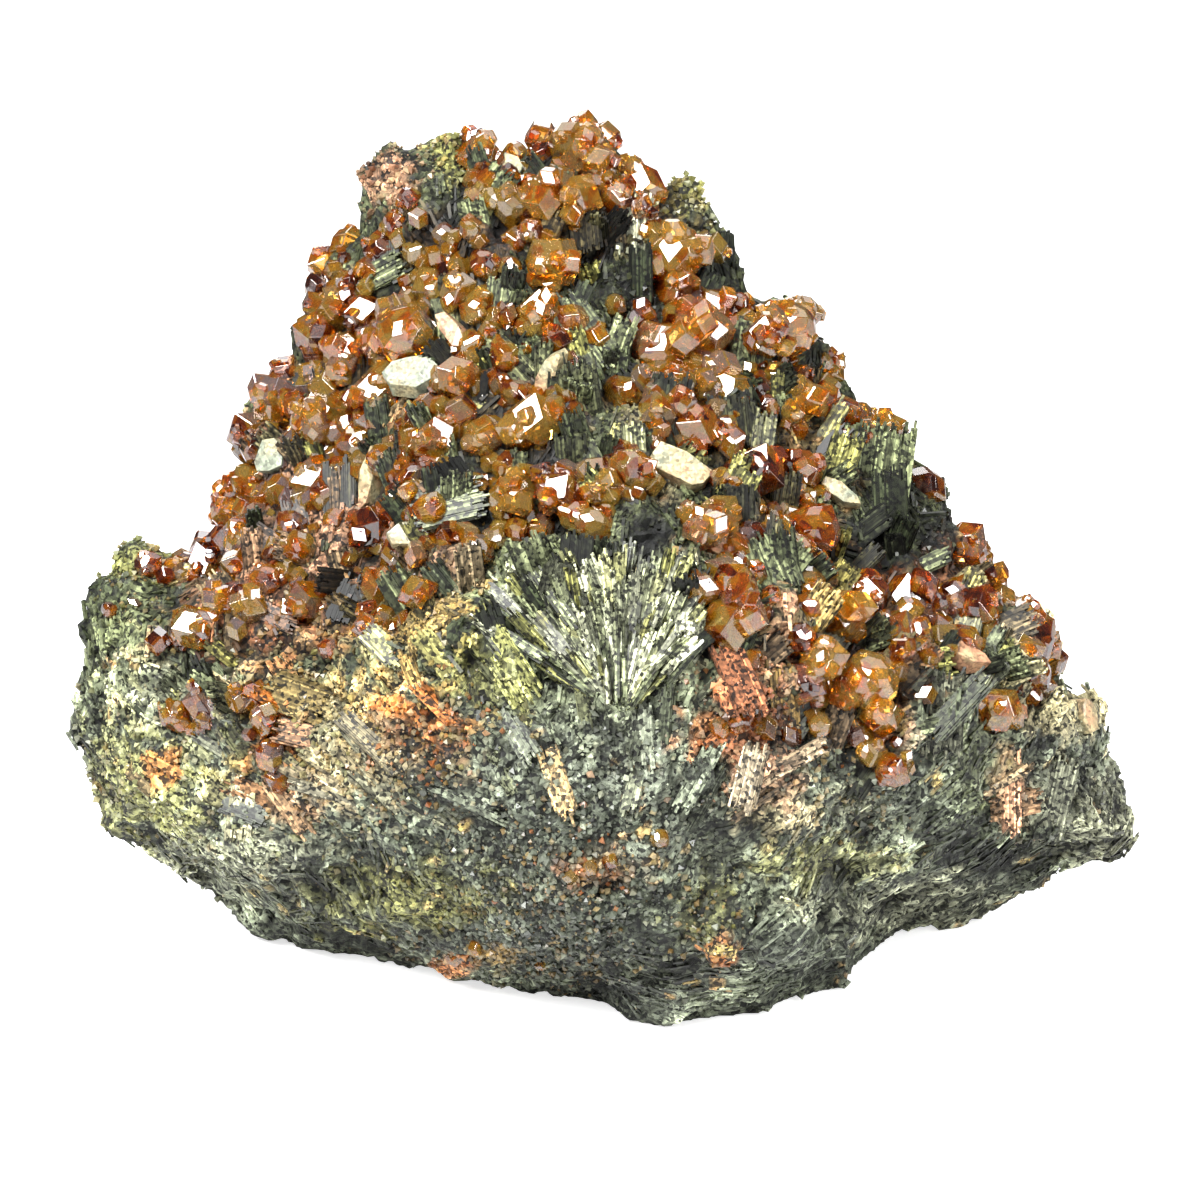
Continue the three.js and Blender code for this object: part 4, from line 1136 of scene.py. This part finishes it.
def rock_material():
    """Matt rock: its painted colours, mineral speckle and fine threads along the fibres"""
    material, tree, shader = new_material("host rock")
    fibre = add_node(tree, "ShaderNodeAttribute", attribute_name="fibre").outputs["Vector"]
    laid = add_node(tree, "ShaderNodeSeparateXYZ")
    tree.links.new(fibre, laid.inputs[0])
    contrast = worked_out(tree, "MULTIPLY_ADD", laid.outputs["Z"], -1.3, 3.4)
    speckle = add_speckle(tree, tone_of(tree), ROCK_GRAINS, contrast)
    stretch = add_node(tree, "ShaderNodeVectorMath", operation="MULTIPLY")
    stretch.inputs[1].default_value = THREADS_PER_MM
    tree.links.new(fibre, stretch.inputs[0])
    threads = noise_value(tree, stretch.outputs[0], 1, 3)
    lines = spread_value(tree, threads, 0.3, 0.7, 0.2, 1.95)
    lined = scaled_colour(tree, speckle.outputs["Colour"], lines)
    tree.links.new(lined, shader.inputs["Base Color"])
    height = worked_out(tree, "ADD", threads, speckle.outputs["Height"])
    add_bump(tree, shader, height, 0.7, 0.18 * MM)
    shader.inputs["Roughness"].default_value = 0.6
    shader.inputs["Specular IOR Level"].default_value = 0.35
    return material


def fibre_material():
    """Fibres with a silky gloss"""
    material, tree, shader = new_material("mineral fibre")
    speckle = add_speckle(tree, tone_of(tree), FIBRE_GRAINS, 2.4)
    tree.links.new(speckle.outputs["Colour"], shader.inputs["Base Color"])
    shader.inputs["Roughness"].default_value = 0.45
    shader.inputs["Specular IOR Level"].default_value = 0.3
    return material


def grain_material():
    """Grains of the crusts, a little glassy"""
    material, tree, shader = new_material("crust grain")
    speckle = add_speckle(tree, tone_of(tree), CRUST_SPECKS, 0.6)
    tree.links.new(speckle.outputs["Colour"], shader.inputs["Base Color"])
    shader.inputs["Roughness"].default_value = 0.35
    return material


def garnet_colour(tree, place, depth, facet):
    """Dark red-brown to honey, by crystal, facet, cell and cloud"""
    cloud = noise_value(tree, place, GARNET_CLOUD, 5)
    cells = worked_out(tree, "MULTIPLY_ADD", cell_value(tree, place, GARNET_CELLS), 0.8, depth)
    faced = worked_out(tree, "MULTIPLY_ADD", facet, 0.45, cells)
    shifted = worked_out(tree, "SUBTRACT", faced, 1.05)
    return colour_ramp(tree, worked_out(tree, "MULTIPLY_ADD", cloud, 1.3, shifted), GARNET_STOPS)


def skin_share(tree, place, facet, mauve):
    """Where a thin mauve skin covers a crystal: patches on some of its faces"""
    patches = noise_value(tree, place, SKIN_PATCHES, 3)
    covered = worked_out(tree, "MULTIPLY_ADD", patches, 0.8, facet)
    return worked_out(tree, "MULTIPLY", spread_value(tree, covered, 1.08, 1.16, 0, 1), mauve)


def garnet_material():
    """Glossy, nearly clear garnet from dark red-brown through orange to honey"""
    material, tree, shader = new_material("garnet")
    depth, mauve = first_channels(tree, tone_of(tree))
    place = surface_place(tree)
    facet = add_node(tree, "ShaderNodeAttribute", attribute_name="facet").outputs["Fac"]
    blend = add_node(tree, "ShaderNodeMix", data_type="RGBA")
    factor, first, second = blend.inputs[0], blend.inputs[6], blend.inputs[7]
    tree.links.new(skin_share(tree, place, facet, mauve), factor)
    tree.links.new(garnet_colour(tree, place, depth, facet), first)
    second.default_value = SKIN_MAUVE
    tree.links.new(blend.outputs[2], shader.inputs["Base Color"])
    add_bump(tree, shader, noise_value(tree, place, GROWTH_LINES, 2), 0.07, 0.08 * MM)
    shader.inputs["Roughness"].default_value = 0.04
    shader.inputs["IOR"].default_value = GARNET_IOR
    shader.inputs["Transmission Weight"].default_value = 0.91
    return material


def pale_material():
    """Cream to peach blades with fine lines and stains"""
    material, tree, shader = new_material("pale mineral")
    depth = first_channels(tree, tone_of(tree))[0]
    stains = noise_value(tree, surface_place(tree), STAINS, 4)
    shifted = worked_out(tree, "SUBTRACT", depth, 1.15)
    mixed = worked_out(tree, "MULTIPLY_ADD", stains, 2.2, shifted)
    stops = ((0, linear("peach") * 0.55), (0.5, linear("cream") * 0.55), (1, linear("grey")))
    speckle = add_speckle(tree, colour_ramp(tree, mixed, stops), BLADE_GRAINS, 1.0)
    tree.links.new(speckle.outputs["Colour"], shader.inputs["Base Color"])
    add_bump(tree, shader, speckle.outputs["Height"], 0.4, 0.1 * MM)
    shader.inputs["Roughness"].default_value = 0.35
    return material


# Camera, floor and light

def camera():
    """The camera at the photograph's viewing angle"""
    data = bpy.data.cameras.new("view")
    data.lens = LENS
    data.sensor_width = SENSOR
    data.clip_start = 0.01
    eye = bpy.data.objects.new("view", data)
    eye.location = EYE
    eye.rotation_euler = SIGHT.to_track_quat("-Z", "Y").to_euler()
    bpy.context.scene.collection.objects.link(eye)
    bpy.context.scene.camera = eye


def floor():
    """A plain floor that stays nearly white to the viewer"""
    half = FLOOR_WIDTH / 2
    corners = [(-half, -half, 0), (half, -half, 0), (half, half, 0), (-half, half, 0)]
    mesh = mesh_from_arrays("floor", corners, [(0, 1, 2, 3)])
    material, tree, shader = new_material("white floor")
    shader.inputs["Base Color"].default_value = FLOOR_WHITE
    shader.inputs["Roughness"].default_value = 0.4
    shader.inputs["Emission Color"].default_value = (1, 1, 1, 1)
    seen = add_node(tree, "ShaderNodeLightPath").outputs["Is Camera Ray"]
    tree.links.new(worked_out(tree, "MULTIPLY", seen, FLOOR_GLOW), shader.inputs["Emission Strength"])
    mesh.materials.append(material)
    piece = new_object("floor", mesh)
    piece.location.z = -FLOOR_GAP


def soft_light(name, place, size, power):
    """A square soft light that looks at the middle of the rock"""
    data = bpy.data.lights.new(name, "AREA")
    data.shape = "SQUARE"
    data.size = size
    data.energy = power
    lamp = bpy.data.objects.new(name, data)
    lamp.location = place
    aim = Vector(LIT_PLACE) - Vector(place)
    lamp.rotation_euler = aim.to_track_quat("-Z", "Y").to_euler()
    bpy.context.scene.collection.objects.link(lamp)


def lights():
    """A dim white world and the soft lights"""
    world = bpy.data.worlds.new("studio")
    world.use_nodes = True
    background = world.node_tree.nodes["Background"]
    background.inputs["Color"].default_value = (1, 1, 1, 1)
    background.inputs["Strength"].default_value = WORLD_LIGHT
    bpy.context.scene.world = world
    for name, place, size, power in LIGHTS:
        soft_light(name, place, size, power)


camera()
floor()
lights()
host = host_rock()
loose_fibres(host)
block_fibres(host)
crust_grains(host)
garnets(host)
pale_blades()
bpy.context.scene.view_settings.view_transform = "Standard"
